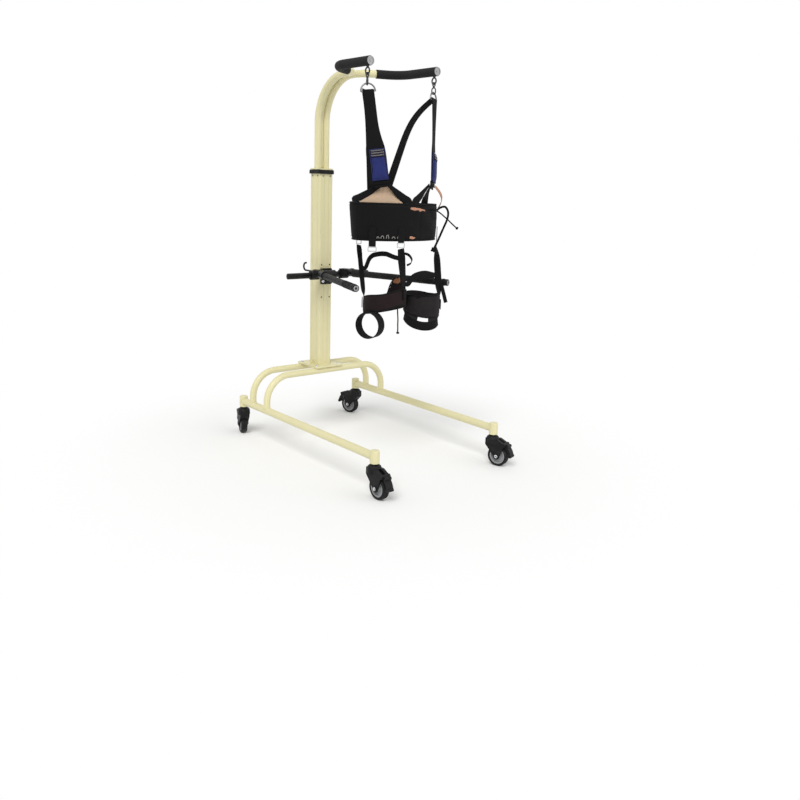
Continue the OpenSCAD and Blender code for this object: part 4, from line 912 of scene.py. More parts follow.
@dataclass
class Handles:
    """Bracket, cross bar and the two folding handles."""

    hub_x: float = 0.092
    pivot_y: float = -0.268
    z: float = 0.873
    length: float = 0.59
    splay: dict = field(default_factory=lambda: {Side.NEAR: 19.5, Side.FAR: 17.5})
    rib_r: float = 0.0162
    rib_start: float = 0.43
    rib_pitch: float = 0.011
    rib_count: int = 11
    button_radii: tuple = (0.0105, 0.0085, 0.0065)
    button_lift: float = 0.0004
    ring_steps: int = 40

    def build(self) -> None:
        """Dress the nodes, rib the grips and set a button in each grip's end."""
        dress(BLACK_PAINT, "handle_bracket", "cross_bar")
        dress(BLACK_PLASTIC, "cross_bar_plugs")
        for side in Side:
            body = side.word + "_handle"
            dress(BLACK_PAINT, body + "_hub", body + "_bar")
            dress(BLACK_PLASTIC, body + "_knob")
            dress(GRIP_RUBBER, body + "_grip")
            reaches = (self.rib_start + k * self.rib_pitch for k in range(self.rib_count))
            rings = [self.ring(side, reach, self.rib_r) for reach in reaches]
            BEADS.run(body + "_ribs", rings, GRIP_RIB, body, "grip_rubber", True)
            button = [self.ring(side, self.length + self.button_lift, r) for r in self.button_radii]
            BEADS.run(body + "_button", button, GRIP_BUTTON, body, "rim_plastic", True)

    def ring(self, side: Side, reach: float, radius: float) -> Points:
        """Give a ring of points round a handle at a distance from its pivot."""
        lean = math.radians(self.splay[side]) * side.value
        way = np.array([math.sin(lean), math.cos(lean), 0.0])
        flat = np.array([math.cos(lean), -math.sin(lean), 0.0])
        middle = np.array([side.value * self.hub_x, self.pivot_y, self.z]) + way * reach
        turns = full_turn(self.ring_steps)
        return np.array([middle + (flat * math.cos(t) + UP * math.sin(t)) * radius for t in turns])


@dataclass
class Caster:
    """One caster: fork, wheel and brake pedal."""

    name: str
    x: float
    y: float
    yaw: float
    trail: float = 0.036
    wheel_r: float = 0.052
    rib_count: int = 10
    rib_ends: tuple = (0.0185, 0.031)
    rib_side: float = 0.0052
    cap_radii: tuple = (0.0035, 0.0058, 0.0078)
    cap_side: float = 0.0286

    def build(self) -> None:
        """Dress the nodes, rib the rim and cap the axle."""
        dress(BLACK_PLASTIC, self.name + "_fork", self.name + "_pedal")
        dress(TYRE_RUBBER, self.name + "_tyre")
        dress(RIM_PLASTIC, self.name + "_rim")
        ribs = [
            [self.place(r, turn, face * self.rib_side) for r in np.linspace(*self.rib_ends, 6)]
            for face in (-1, 1) for turn in full_turn(self.rib_count)
        ]
        BEADS.run(self.name + "_rim_ribs", ribs, RIM_RIB, self.name + "_wheel", "rim_plastic")
        caps = [
            [self.place(r, turn, face * self.cap_side) for turn in full_turn(24)]
            for face in (-1, 1) for r in self.cap_radii
        ]
        BEADS.run(self.name + "_axle_caps", caps, AXLE_CAP, self.name + "_caster", "bright_steel", True)

    def place(self, radius: float, turn: float, side: float) -> Points:
        """Give a point of the wheel from its radius, its angle and its distance along the axle."""
        yaw = math.radians(self.yaw)
        ahead = np.array([math.cos(yaw), math.sin(yaw), 0.0])
        axle = np.array([-math.sin(yaw), math.cos(yaw), 0.0])
        middle = np.array([self.x, self.y, self.wheel_r]) + ahead * self.trail
        return middle + (ahead * math.cos(turn) + UP * math.sin(turn)) * radius + axle * side


@dataclass
class Harness:
    """Everything that hangs from the horns: straps, pads, belt, cuffs, loops and cords."""

    body: str = "harness"
    gap: float = 0.0004
    horn_half: float = 0.194
    eye_y: float = 0.2144786
    hook_low_z: float = 1.72865
    hook_seat: float = 0.00625
    belt_a: float = 0.217
    belt_b: float = 0.117
    belt_t: float = 0.018
    belt_h: float = 0.166
    belt_top: float = 1.242
    belt_back: float = 0.0165
    flare: float = 0.013
    flare_angle: float = -26.0
    flare_spread: float = 34.0
    seam_angles: tuple = (8.0, 98.0, 172.0, 250.0, 290.0)
    strap_w: float = 0.05
    strap_low_w: float = 0.088
    strap_t: float = 0.003
    strap_shares: tuple = (0, 0, 0, 0.1, 0.4, 0.85, 1, 1, 1, 0.9)
    back_x: float = 0.027
    back_drop: float = 0.034
    back_bow: tuple = (-0.75, -0.66, 0.0)
    wrap_ease: float = 0.002
    stitch_lift: float = 0.0016
    stitch_widths: tuple = ((0.3, 0.4, 0.5, 0.6), (0.05, 0.0538, 0.0652, 0.0823))
    ring_rod: float = 0.007
    ring_rise: float = 0.032
    ring_angle: float = 68.0
    face_angle: float = 54.0
    pad_w: float = 0.072
    pad_l: float = 0.126
    pad_t: float = 0.013
    pad_shift: float = 0.006
    pad_rise: float = 0.024
    pad_swell: float = 0.002
    patch_half: float = 0.0325
    patch_rise: tuple = (0.026, 0.033)
    patch_cell: float = 0.005
    row_levels: tuple = (0.034, 0.0445, 0.055)
    row_half: float = 0.027
    row_zigzag: float = 0.0022
    foot_angles: tuple = (-18.0, 86.0)
    yoke_w: float = 0.024
    yoke_step: float = 1.55
    yoke_drop: float = 0.016
    yoke_widths: tuple = (0.012, 0.016, 0.022, 0.029, 0.034, 0.037, 0.038, 0.032)
    lining_t: float = 0.003
    lining_wall: float = 0.0026
    lining_bow: float = 0.012
    lining_flat: float = 0.25
    lining_back: float = 0.022
    lining_drop: float = 0.02
    lining_share: float = 0.9
    lining_crease: float = 0.0013
    lining_angles: tuple = (-11.0, 81.5)
    fold_angle: float = 27.0
    cuff_h: float = 0.08
    cuff_t: float = 0.01
    cuff_a: float = 0.09
    cuff_b: float = 0.095
    near_tilt: float = 0.32
    far_tilt: float = -0.2
    far_share: float = 0.86
    tongue_rise: float = 0.074
    tongue_angle: float = 186.0
    tongue_half: float = 36.0
    near_sag: float = 0.014
    far_edge: tuple = (
        (0, 14, 24, 32, 40, 52, 80, 120, 150, 178, 205, 330, 360),
        (0.01, 0.016, 0.017, 0.008, 0.018, 0.024, 0.031, 0.034, 0.026, 0.008, 0.0, 0.0, 0.01),
    )
    band_section: tuple = (
        (0.3, -0.5), (0.05, -0.4), (0, 0), (0.05, 0.4), (0.3, 0.5), (0.62, 0.5),
        (0.92, 0.38), (1, 0.14), (1, -0.14), (0.92, -0.38), (0.62, -0.5),
    )
    band_steps: int = 140
    leg_strap_w: float = 0.032
    narrow_share: float = 0.6
    leg_strap_middles: tuple = (0.022, 0.042, 0.032)
    slack_rises: tuple = (0, 0, 0.75, 1, 1, 0.95, 0.85, 0.7, 0.45, 0.2, 0, 0)
    open_face: tuple = (-0.758, 0.651, 0.0)
    rings: tuple = ((-60, 0.006), (33, 0.024), (72, 0.006), (152, 0.006))
    ring_drop: float = 0.022
    stub_rise: float = 0.062
    feet: tuple = ((0, Side.NEAR, -38), (2, Side.NEAR, 112), (3, Side.FAR, 140))
    slider_shares: tuple = ((0, 0.14), (2, 0.2))
    slider_half: float = 0.0096
    slider_tall: float = 0.009
    loop_r: float = 0.06
    loop_w: float = 0.058
    loop_angle: float = 22.0
    loop_steps: int = 28
    sling_w: float = 0.042
    sling_sag: float = 0.018
    lace_d: float = 0.01
    tie_d: float = 0.006

    def __post_init__(self) -> None:
        """Work out the strap's directions from the horn, the ring and the yoke."""
        face, ring = math.radians(self.face_angle), math.radians(self.ring_angle)
        self.belt_y = self.eye_y - self.belt_back
        self.near_cuff = (0.063, self.belt_y + 0.017, 0.792)
        self.far_cuff = (-0.127, self.belt_y + 0.066, 0.774)
        self.face_dir = np.array([math.cos(face), math.sin(face), 0.0])
        self.apex = np.array([0.14, self.belt_y + 0.092, self.belt_top + 0.092])
        self.strap_end = self.apex + np.array([0.019, -0.016, -0.014])
        head = np.array([self.horn_half, self.eye_y, self.hook_low_z + self.hook_seat + self.gap])
        self.down = unit(self.strap_end - head)
        self.ring_bar = head + self.down * self.ring_rise
        self.ring_side = unit(np.cross(self.down, [math.cos(ring), math.sin(ring), 0]))
        self.ring_out = np.cross(self.ring_side, self.down)
        self.wrap_r = self.ring_rod / 2 + self.gap + self.strap_t / 2
        self.run_top = self.ring_bar + self.ring_out * self.wrap_r
        self.run_down = unit(self.strap_end - self.run_top)
        self.strap_side = unit(np.cross(self.run_down, self.face_dir))
        self.strap_out = np.cross(self.strap_side, self.run_down)
        self.layer = self.strap_t + 4 * self.gap

    def build(self) -> None:
        """Build every soft piece and dress the metal ones."""
        dress(HOOK_STEEL, "snap_hooks")
        dress(RING_STEEL, "d_rings")
        dress(STEEL, "strap_rings")
        self.build_suspenders()
        self.build_pads()
        self.build_yokes()
        self.build_linings()
        self.build_belt()
        self.build_belt_trim()
        self.build_leg_straps()
        self.build_strap_fittings()
        self.build_cuffs()
        self.build_loops()
        self.build_cords()

    def add(self, piece: Piece, finish: Finish, slot: str, *nodes: str) -> Piece:
        """Finish a piece of the harness and tie it to its body."""
        return finish_piece(piece, self.body, finish, slot, *nodes)

    def belt_point(self, angle: float, out: float, z: float) -> Points:
        """Give a point of the belt from its angle in degrees, its distance out and its height."""
        turn = math.radians(angle)
        normal = self.belt_normal(angle)
        out += self.belt_flare(angle, z)
        return np.array([
            self.belt_a * math.cos(turn) + normal[0] * out,
            self.belt_y + self.belt_b * math.sin(turn) + normal[1] * out, z,
        ])

    def belt_flare(self, angle: float, z: float) -> float:
        """Give how far the belt's slack upper corner stands out at an angle and a height."""
        share = min(1.0, max(0.0, (z - self.belt_top + self.belt_h) / self.belt_h))
        away = (angle - self.flare_angle + 180) % 360 - 180
        return self.flare * share**1.5 * math.exp(-((away / self.flare_spread) ** 2))

    def belt_normal(self, angle: float) -> Points:
        """Give the belt's outward direction at an angle in degrees."""
        turn = math.radians(angle)
        return unit([self.belt_b * math.cos(turn), self.belt_a * math.sin(turn), 0.0])

    def belt_angle(self, place: Vector) -> float:
        """Give the angle in degrees at which a place lies round the belt."""
        return math.degrees(math.atan2((place.y - self.belt_y) / self.belt_b, place.x / self.belt_a))

    def cuff_form(self, side: Side) -> tuple[tuple, float, float, float]:
        """Give a cuff's middle, half width, half depth and tilt."""
        if side is Side.NEAR:
            return self.near_cuff, self.cuff_a, self.cuff_b, self.near_tilt
        return self.far_cuff, self.cuff_a * self.far_share, self.cuff_b * self.far_share, self.far_tilt

    def cuff_point(self, side: Side, angle: float, end: float, out: float = 0.5) -> Points:
        """Give a point on a cuff's edge from its angle, its end and its share of the thickness out."""
        place, a, b, tilt = self.cuff_form(side)
        turn = math.radians(angle)
        normal = unit([b * math.cos(turn), a * math.sin(turn)])
        return np.array([
            place[0] + a * math.cos(turn) + normal[0] * out * self.cuff_t,
            place[1] + b * math.sin(turn) + normal[1] * out * self.cuff_t,
            place[2] + end * (self.cuff_h / 2 + self.gap) + tilt * b * math.sin(turn),
        ])

    def cuff_rim(self, side: Side, angle: float) -> Points:
        """Give the direction along a cuff's rim at an angle in degrees."""
        turn, tilt = math.radians(angle), self.cuff_form(side)[3]
        ahead = self.cuff_b * math.cos(turn)
        return unit([-self.cuff_a * math.sin(turn), ahead, tilt * ahead])

    def edge_lift(self, side: Side | None, angle: float) -> float:
        """Give how far a cuff's upper edge rises at an angle in degrees: the near tongue or the far cut."""
        if side is Side.NEAR:
            away = (angle % 360 - self.tongue_angle) / self.tongue_half
            return self.tongue_rise * max(0.0, 1 - away**4)
        return float(np.interp(angle % 360, *self.far_edge)) if side else 0.0

    def edge_sag(self, side: Side | None, angle: float) -> float:
        """Give how far the near cuff's front hangs down at an angle in degrees."""
        away = ((angle + 180) % 360 - 225) / 38
        return self.near_sag * math.exp(-(away**2)) if side is Side.NEAR else 0.0

    def suspender_path(self) -> tuple:
        """Give a suspender's points, across directions and widths, from the belt's back to the yoke."""
        behind = self.belt_y - self.belt_b - self.belt_t - self.strap_t
        foot = np.array([self.back_x, behind, self.belt_top - self.back_drop])
        top = self.ring_bar - self.ring_out * (self.wrap_r + self.wrap_ease)
        rows = []
        for t in (k / 12 for k in range(12)):
            lean = 0.022 * math.sin(math.pi * t) + 0.03 * math.sin(math.pi * t**3)
            place = mix(foot, top, t) + np.array(self.back_bow) * lean
            rows.append((place, unit(mix([1, 0, 0], self.ring_side, t)), self.strap_w))
        for a in range(-180, 1, 30):
            turn, reach = math.radians(a), self.wrap_r - self.wrap_ease * a / 180
            way = self.ring_out * math.cos(turn) - self.down * math.sin(-turn)
            rows.append((self.ring_bar + way * reach, self.ring_side, self.strap_w))
        for k, share in enumerate(self.strap_shares, 1):
            t = k / len(self.strap_shares)
            width = self.strap_w + (self.strap_low_w - self.strap_w) * share
            rows.append((mix(self.run_top, self.strap_end, t), self.strap_across(t), width))
        return tuple(np.array(column) for column in zip(*rows))

    def strap_across(self, share: float) -> Points:
        """Give the direction across a suspender's front run at a share of it."""
        return unit(mix(self.ring_side, self.strap_side, min(1.0, 2 * share)))

    def on_strap(self, share: float, side: float) -> Points:
        """Give a point on the suspender's front face, by a share of its front run and a distance across."""
        middle = mix(self.run_top, self.strap_end, share)
        return middle + self.strap_across(share) * side + self.strap_out * self.stitch_lift

    def build_suspenders(self) -> None:
        """Build both suspenders with their edge seams and two bars of stitching."""
        points, across, widths = self.suspender_path()
        made, lines = [], []
        for side in Side:
            name = f"suspender_{side.word}"
            made.append(Ribbon(name, side.flip(points), side.flip(across), widths, self.strap_t).build())
            for edge in (-0.42, 0.42):
                shares = np.linspace(0.12, 0.62, 24)
                row = [self.on_strap(t, edge * np.interp(t, *self.stitch_widths)) for t in shares]
                lines.append(side.flip(row))
            for along in (0.14, 0.155):
                lines.append(side.flip([self.on_strap(along, s) for s in np.linspace(-0.02, 0.02, 12)]))
        self.add(join("suspender_webbing", made), WEBBING, "black_webbing", "suspender_straps")
        BEADS.run("suspender_stitches", lines, SEAM, self.body, "black_webbing")

    def pad_middle(self) -> Points:
        """Give the place on the near strap under the middle of its pad."""
        return self.strap_end - self.run_down * (self.pad_l / 2 + self.pad_rise) - self.strap_side * self.pad_shift

    def pad_form(self, side: Side) -> tuple[list, list, list]:
        """Give a shoulder pad's points, its faces and the numbers of the points round its rim."""
        middle = self.pad_middle() + self.strap_out * (self.strap_t / 2 + self.gap)
        n, verts, faces = 14, [], []
        steps = [2 * i / n - 1 for i in range(n + 1)]
        for layer in (0, 1):
            for u in steps:
                for v in steps:
                    top = (self.pad_t - self.pad_swell) * (0.4 + 0.6 * (1 - u**4) * (1 - v**4))
                    width = (self.pad_w - 2 * self.pad_swell) * (1 - 0.05 * (1 - v * v))
                    x, y, z = u * width / 2, v * (self.pad_l + 0.003) / 2 - 0.004, 0.0008 + top * layer
                    place = middle + self.strap_side * x - self.run_down * y + self.strap_out * z
                    verts.append(side.flip(place))
        m, k = n + 1, (n + 1) ** 2
        for a, b, c, d in grid_faces(n, n):
            faces += [[a, b, c, d], [k + a, k + d, k + c, k + b]]
        rim = [*range(n), *(i * m + n for i in range(n))]
        rim += [*(n * m + n - j for j in range(n)), *((n - i) * m for i in range(n))]
        for a, b in zip(rim, rim[1:] + rim[:1]):
            faces.append([a, a + k, b + k, b])
        return verts, faces, [a + k for a in rim]

    def build_pads(self) -> None:
        """Build both shoulder pads as swollen cushions with piped edges and a sewn patch at the top."""
        pads, piping, patches, lines = [], [], [], []
        for side in Side:
            verts, faces, rim = self.pad_form(side)
            pad = outward(mesh_object(f"pad_{side.word}", verts, faces))
            pads.append(Inflate(voxel=0.0035).run(pad))
            patches.append(self.pad_patch(pads[-1], side))
            lines += self.pad_rows(pads[-1], side)
            edge = [verts[a] for a in rim]
            piping.append(tube(f"pad_piping_{side.word}", edge, 0.002, closed=True, per_span=2))
        cushions = join("shoulder_cushions", pads)
        map_flat(cushions, self.strap_side, self.run_down)
        self.add(cushions, NAVY_CLOTH, "blue_fabric", "shoulder_pads")
        self.add(join("pad_piping", piping), NAVY_CLOTH, "blue_fabric")
        self.add(join("pad_patches", patches), NAVY_PATCH, "blue_fabric")
        BEADS.run("pad_stitches", lines, PAD_SEAM, self.body, "black_webbing")

    def on_pad(self, pad: Piece, side: Side, across: float, rise: float, lift: float) -> Points:
        """Give a place just above a pad's face.

        Args:
            pad: The pad.
            side: Its side.
            across: Distance across from the pad's middle.
            rise: Distance up from the pad's middle.
            lift: Height above the face.

        Returns:
            The place, found by a ray from 50 mm in front.
        """
        ahead = self.pad_middle() + self.strap_side * across - self.run_down * rise + self.strap_out * 0.05
        start, out = side.flip(ahead), side.flip(self.strap_out)
        hit, spot, _, _ = pad.ray_cast(Vector(start), Vector(-out))
        return (np.array(spot) if hit else start - out * 0.042) + out * lift

    def pad_patch(self, pad: Piece, side: Side) -> Piece:
        """Lay a dark sewn patch over a pad's upper end."""
        rows, cols, (low, tall) = 8, 12, self.patch_rise
        verts = [
            self.on_pad(pad, side, self.patch_half * (2 * c / cols - 1), low + tall * r / rows, 0.0009)
            for r in range(rows + 1) for c in range(cols + 1)
        ]
        faces, step, cell = grid_faces(rows, cols), cols + 1, self.patch_cell
        uvs = [[(v % step * cell, v // step * cell) for v in face] for face in faces]
        return walled(mesh_object(f"pad_patch_{side.word}", verts, faces, uvs), 0.0012)

    def pad_rows(self, pad: Piece, side: Side) -> list:
        """Give zigzag stitch rows across a pad's patch."""
        steps = np.linspace(-self.row_half, self.row_half, 25)
        return [
            [self.on_pad(pad, side, x, level + self.row_zigzag * (-1) ** k, 0.002) for k, x in enumerate(steps)]
            for level in self.row_levels
        ]

    def yoke_leg(self, k: int) -> tuple[Points, Points]:
        """Give the points and across directions of a yoke leg, the side one first."""
        angle, inward = self.foot_angles[k], self.strap_t / 2 + 4 * self.gap
        out = self.belt_normal(angle)
        behind = (self.yoke_step * k + 1) * self.layer + 2 * self.gap
        top = self.apex - self.strap_out * behind + self.run_down * self.yoke_w / 2
        rim = self.belt_point(angle, -inward, self.belt_top + self.yoke_w / 2)
        foot = self.belt_point(angle, -inward, self.belt_top - self.yoke_drop)
        slope, shares = unit(rim - top), np.linspace(0, 1, 7)
        points = [mix(top, rim, t) for t in shares] + [foot]
        across = [np.cross(slope, mix(self.strap_out, out, t)) for t in shares]
        across.append(np.array([out[1], -out[0], 0.0]))
        return np.array(points), np.array([unit(a) for a in across])

    def build_yokes(self) -> None:
        """Build the four yoke legs with their stitching, and the patch behind each strap's end."""
        legs, lines = [], []
        widths, front = np.array(self.yoke_widths), self.belt_point(34, 0, self.belt_top)
        for side in Side:
            for k in (0, 1):
                points, across = self.yoke_leg(k)
                inner = np.sign((across * (front - points)).sum(1))
                points = points + across * (inner * (widths - self.yoke_w) / 2)[:, None]
                path, turned = side.flip(points), side.flip(across)
                legs.append(Ribbon(f"yoke_{side.word}_{k}", path, turned, widths, self.strap_t).build())
                normals = np.cross(turned, tangents(path))
                normals *= np.sign(normals[:, 1:2])
                for edge in (-0.0095, 0.0095):
                    rows = zip(path[:6], turned, normals)
                    lines.append([p + a * edge + unit(n) * self.stitch_lift for p, a, n in rows])
            start = self.strap_end - self.strap_out * (self.strap_t + 0.0006) - self.strap_side * 0.006
            patch = side.flip([start + self.run_down * d for d in (-0.02, -0.008, 0.004, 0.014)])
            turned, wide = side.flip(self.strap_side), (0.07, 0.072, 0.07, 0.05)
            legs.append(Ribbon(f"apex_{side.word}", patch, turned, wide, 0.0024).build())
        self.add(join("yoke_webbing", legs), WEBBING, "black_webbing", "side_yokes")
        BEADS.run("yoke_stitches", lines, SEAM, self.body, "black_webbing")

    def lining_point(self, t: float, s: float) -> Points:
        """Give a point of the near lining, by shares of its height and its width."""
        first, last = self.lining_angles
        low = self.belt_point(first + (last - first) * s, -self.lining_t / 2, self.belt_top - self.lining_drop)
        high = self.apex - self.face_dir * self.lining_back
        crease = math.sin(9 * math.pi * s + 3 * t) + 0.6 * math.sin(4 * math.pi * (s + t))
        rise = max(0.0, t - self.lining_flat) / (1 - self.lining_flat)
        bow = self.lining_bow - self.lining_crease * crease * math.sin(math.pi * s)
        return mix(low, high, self.lining_share * t) - self.face_dir * (math.sin(math.pi * rise) * bow)

    def build_linings(self) -> None:
        """Build the near lining as soft cloth and the far one as a folded strip."""
        rows, cols = 28, 48
        verts = [self.lining_point(r / rows, c / cols) for r in range(rows + 1) for c in range(cols + 1)]
        faces = grid_faces(rows, cols)
        uvs = [[(float(verts[v][0] - verts[v][1]) * 0.7, float(verts[v][2])) for v in face] for face in faces]
        panel = mesh_object("lining_panel", verts, faces, uvs)
        panel = walled(panel, self.lining_wall)
        panel.data.shade_smooth()
        self.add(panel, TAN_CLOTH, "tan_fabric", "yoke_linings")
        top = self.apex + (self.strap_out + self.run_down) * 0.014
        foot = self.belt_point(self.fold_angle, self.belt_t + self.strap_t / 4, self.belt_top - self.lining_drop)
        shares = np.linspace(0, 1, 9)
        points = [mix(top, foot, t) + self.face_dir * 0.024 * math.sin(math.pi * t) for t in shares]
        across = Side.FAR.flip(np.cross(foot - top, self.face_dir))
        widths = [0.014 + 0.007 * math.sin(math.pi * t) for t in shares]
        strip = Ribbon("lining_strip", Side.FAR.flip(points), across, widths, self.strap_t).build()
        self.add(strip, ROSE_CLOTH, "tan_fabric", "yoke_linings")

    def band(self, name: str, place: tuple, half: tuple, h: float, t: float, tilt: float, inset: float,
             side: Side | None = None) -> Piece:
        """Build a closed padded band round an oval, a little smaller than its final form.

        Args:
            name: Name of the band.
            place: Middle of the band.
            half: Half width and half depth.
            h: Height.
            t: Thickness.
            tilt: Rise along Y.
            inset: How much smaller the form starts, on each side.
            side: Side of a cuff, for its cut and its sag.

        Returns:
            The band.
        """
        section, (a, b), rings = smooth_path(np.array(self.band_section), 3, True), half, []
        for i in range(self.band_steps):
            turn = TURN * i / self.band_steps
            normal = unit([b * math.cos(turn), a * math.sin(turn)])
            lift, sag = 2 * self.edge_lift(side, math.degrees(turn)), self.edge_sag(side, math.degrees(turn))
            ring = []
            for s, height in section:
                reach = inset + s * (t - 2 * inset)
                level = place[2] + height * (h - 2 * inset) + tilt * b * math.sin(turn)
                ring.append((
                    place[0] + a * math.cos(turn) + normal[0] * reach,
                    place[1] + b * math.sin(turn) + normal[1] * reach,
                    level + lift * max(0.0, height) - sag,
                ))
            rings.append(ring)
        return skin(name, rings, True)

    def build_belt(self) -> None:
        """Build the padded belt with its rose lining inside."""
        middle = (0.0, self.belt_y, self.belt_top - self.belt_h / 2)
        belt = self.band("padded_belt", middle, (self.belt_a, self.belt_b), self.belt_h, self.belt_t, 0.0, 0.0015)
        belt = Inflate().run(belt)
        self.press_seams(belt)
        map_round(belt, middle, 0.17)
        self.add(belt, BELT_CLOTH, "belt_fabric", "body_belt")
        belt.data.materials.append(ROSE_CLOTH.material())
        for face in belt.data.polygons:
            if Vector(self.belt_normal(self.belt_angle(face.center))).dot(face.normal) < -0.6:
                face.material_index = 1

    def press_seams(self, belt: Piece) -> None:
        """Draw the belt's outer face in along its upright seams and lay slack folds across its front."""
        for vertex in belt.data.vertices:
            angle = self.belt_angle(vertex.co) % 360
            normal, rim = self.belt_normal(angle), self.belt_point(angle, 0, 0)
            out = (vertex.co.x - rim[0]) * normal[0] + (vertex.co.y - rim[1]) * normal[1]
            vertex.co += Vector(normal) * self.belt_flare(angle, vertex.co.z)
            if out < self.belt_t * 0.5:
                continue
            near = min(abs((angle - s + 180) % 360 - 180) for s in self.seam_angles)
            dent = 0.0018 * math.exp(-((near * 0.0026 / 0.004) ** 2))
            front = math.exp(-(((angle - 112) / 30) ** 2))
            height = (vertex.co.z - self.belt_top) / self.belt_h
            fold = math.sin(0.17 * angle + 9 * height) + 0.7 * math.sin(0.09 * angle - 21 * height)
            vertex.co += Vector(normal) * (0.0016 * front * fold - dent)

    def build_belt_trim(self) -> None:
        """Bind the belt's edges, stitch its seams, and add its lip, patch and small loops."""
        edges, lines = [], []
        low = self.belt_top - self.belt_h
        for z, sign in ((self.belt_top, 1), (low, -1)):
            ring = [self.belt_point(a, self.belt_t * 0.46, z - sign * 0.004) for a in range(0, 360, 4)]
            edges.append(tube("edge", ring, 0.0045, 10, True, 1.1, 2))
            lines.append([self.belt_point(a, self.belt_t * 0.9, z - sign * 0.016) for a in range(0, 360, 2)])
        self.add(join("belt_binding", edges), WEBBING, "black_webbing")
        for angle in self.seam_angles:
            levels = self.belt_top - np.linspace(0.03, 0.136, 30)
            lines.append([self.belt_point(angle, self.belt_t - 0.0008, z) for z in levels])
        BEADS.run("belt_stitches", lines, BELT_SEAM, self.body, "belt_fabric")
        lip_route = ((84, 0.021), (89, 0.023), (95, 0.026), (101, 0.028), (107, 0.031))
        lip = [self.belt_point(a, self.belt_t * 0.94 + 0.0012, self.belt_top - d) for a, d in lip_route]
        patch = [self.belt_point(a, self.belt_t * 0.96 + 0.001, low + 0.017) for a in (84, 87, 90, 92)]
        trims = [
            Ribbon("lip", lip, UP, [0.008, 0.013, 0.014, 0.012, 0.008], 0.0024).build(),
            Ribbon("patch", patch, UP, [0.009, 0.013, 0.012, 0.006], 0.0022).build(),
        ]
        self.add(join("belt_lip", trims), ROSE_CLOTH, "tan_fabric")
        loops = []
        for k, angle in enumerate((41, 47, 54, 62, 69)):
            reach, tall = 1.6 + 0.4 * (k % 2), 0.008 + 0.004 * (k % 3)
            spots = [(angle + reach * math.cos(t), tall * math.sin(t)) for t in np.linspace(0, math.pi, 9)]
            arc = [self.belt_point(a, self.belt_t * 0.9 + 0.002, low + 0.012 + rise) for a, rise in spots]
            loops.append(tube(f"loop_{k}", arc, 0.0013, 8))
        self.add(join("belt_small_loops", loops), PALE_THREAD, "black_webbing")

    def ring_top(self, k: int) -> Points:
        """Give the place of a strap ring's top."""
        angle, drop = self.rings[k]
        out = self.belt_t + self.gap + self.strap_t / 2
        return self.belt_point(angle, out, self.belt_top - self.belt_h - drop)

    def ring_low(self, k: int) -> Points:
        """Give the place under a strap ring."""
        return self.ring_top(k) - UP * (self.ring_drop + 2 * self.gap)

    def ring_across(self, k: int) -> Points:
        """Give the direction across a strap in its ring."""
        normal = self.belt_normal(self.rings[k][0])
        return np.array([-normal[1], normal[0], 0.0])

    def hang(self, number: int, share: float) -> tuple[Points, Points, Points]:
        """Give a hanging strap's place, across and outward directions at a share of its way down."""
        k, side, angle = self.feet[number]
        low = self.cuff_point(side, angle, 1)
        across = unit(mix(self.ring_across(k), self.cuff_rim(side, angle), share))
        out = unit(np.cross(low - self.ring_low(k), across))
        return mix(self.ring_low(k), low, share), across, out

    def facing(self, number: int, share: float) -> Points:
        """Give a hanging strap's across direction; the outer two turn to the open side between their ends."""
        across = self.hang(number, share)[1]
        if number == 1:
            return across
        open_side = np.array(self.open_face) * (1 if number else -1)
        return unit(mix(across, open_side, min(1.0, 4.2 * share * (1 - share))))

    def slack_seat(self, number: int, share: float) -> Points:
        """Give the end of a slack strap beside a hanging one."""
        place, _, out = self.hang(number, share)
        narrow = self.leg_strap_w * self.narrow_share
        return place - out * (self.strap_t / 2 + 3 * self.gap + narrow / 2 * abs(out[2]))

    def build_leg_straps(self) -> None:
        """Build the ring stubs, hanging straps and slack cross straps."""
        made, full = [], self.leg_strap_w
        for k, (_, drop) in enumerate(self.rings):
            low = self.ring_top(k)
            stub = [mix(low + UP * (drop + self.stub_rise), low, t) for t in np.linspace(0, 1, 7)]
            made.append(Ribbon(f"stub_{k}", stub, self.ring_across(k), full).build())
        for number, (k, side, angle) in enumerate(self.feet):
            low, high = self.cuff_point(side, angle, 1), self.ring_low(k)
            way = unit(low - high)
            head = high - UP * (full / 2 * abs(way @ self.ring_across(k)) + self.gap / 2)
            foot = low + UP * (full / 2 * abs(way @ self.cuff_rim(side, angle)) + self.gap / 2)
            shares = np.linspace(0, 1, 9)
            points, turned = [mix(head, foot, t) for t in shares], [self.facing(number, t) for t in shares]
            middle_w = self.leg_strap_middles[number]
            widths = np.interp(shares, [0, 0.25, 0.8, 1], [full, middle_w, middle_w, full])
            made.append(Ribbon(f"leg_strap_{number}", points, turned, widths, self.strap_t).build())
        middle, across, _ = self.hang(1, 0.88)
        edge = middle + across * (full / 2 + self.strap_t)
        slack = (
            (self.slack_seat(0, 0.45), self.slack_seat(1, 0.25), 0.046, 0.1),
            (edge, self.slack_seat(2, 0.55), 0.023, 0.6),
        )
        last = len(self.slack_rises) - 1
        for number, (start, end, rise, wide) in enumerate(slack):
            points, widths = [], []
            for k, share in enumerate(self.slack_rises):
                level = min(1.0, max(0.0, (k - 1) / (last - 2)))
                x, y, _ = mix(start, end, k / last)
                points.append([x, y, start[2] + (end[2] - start[2]) * level + rise * share])
                widths.append(full * (self.narrow_share + wide * math.sin(math.pi * k / last)))
            made.append(Ribbon(f"slack_{number}", points, UP, widths, self.strap_t).build())
        self.add(join("leg_webbing", made), WEBBING, "black_webbing", "leg_straps")

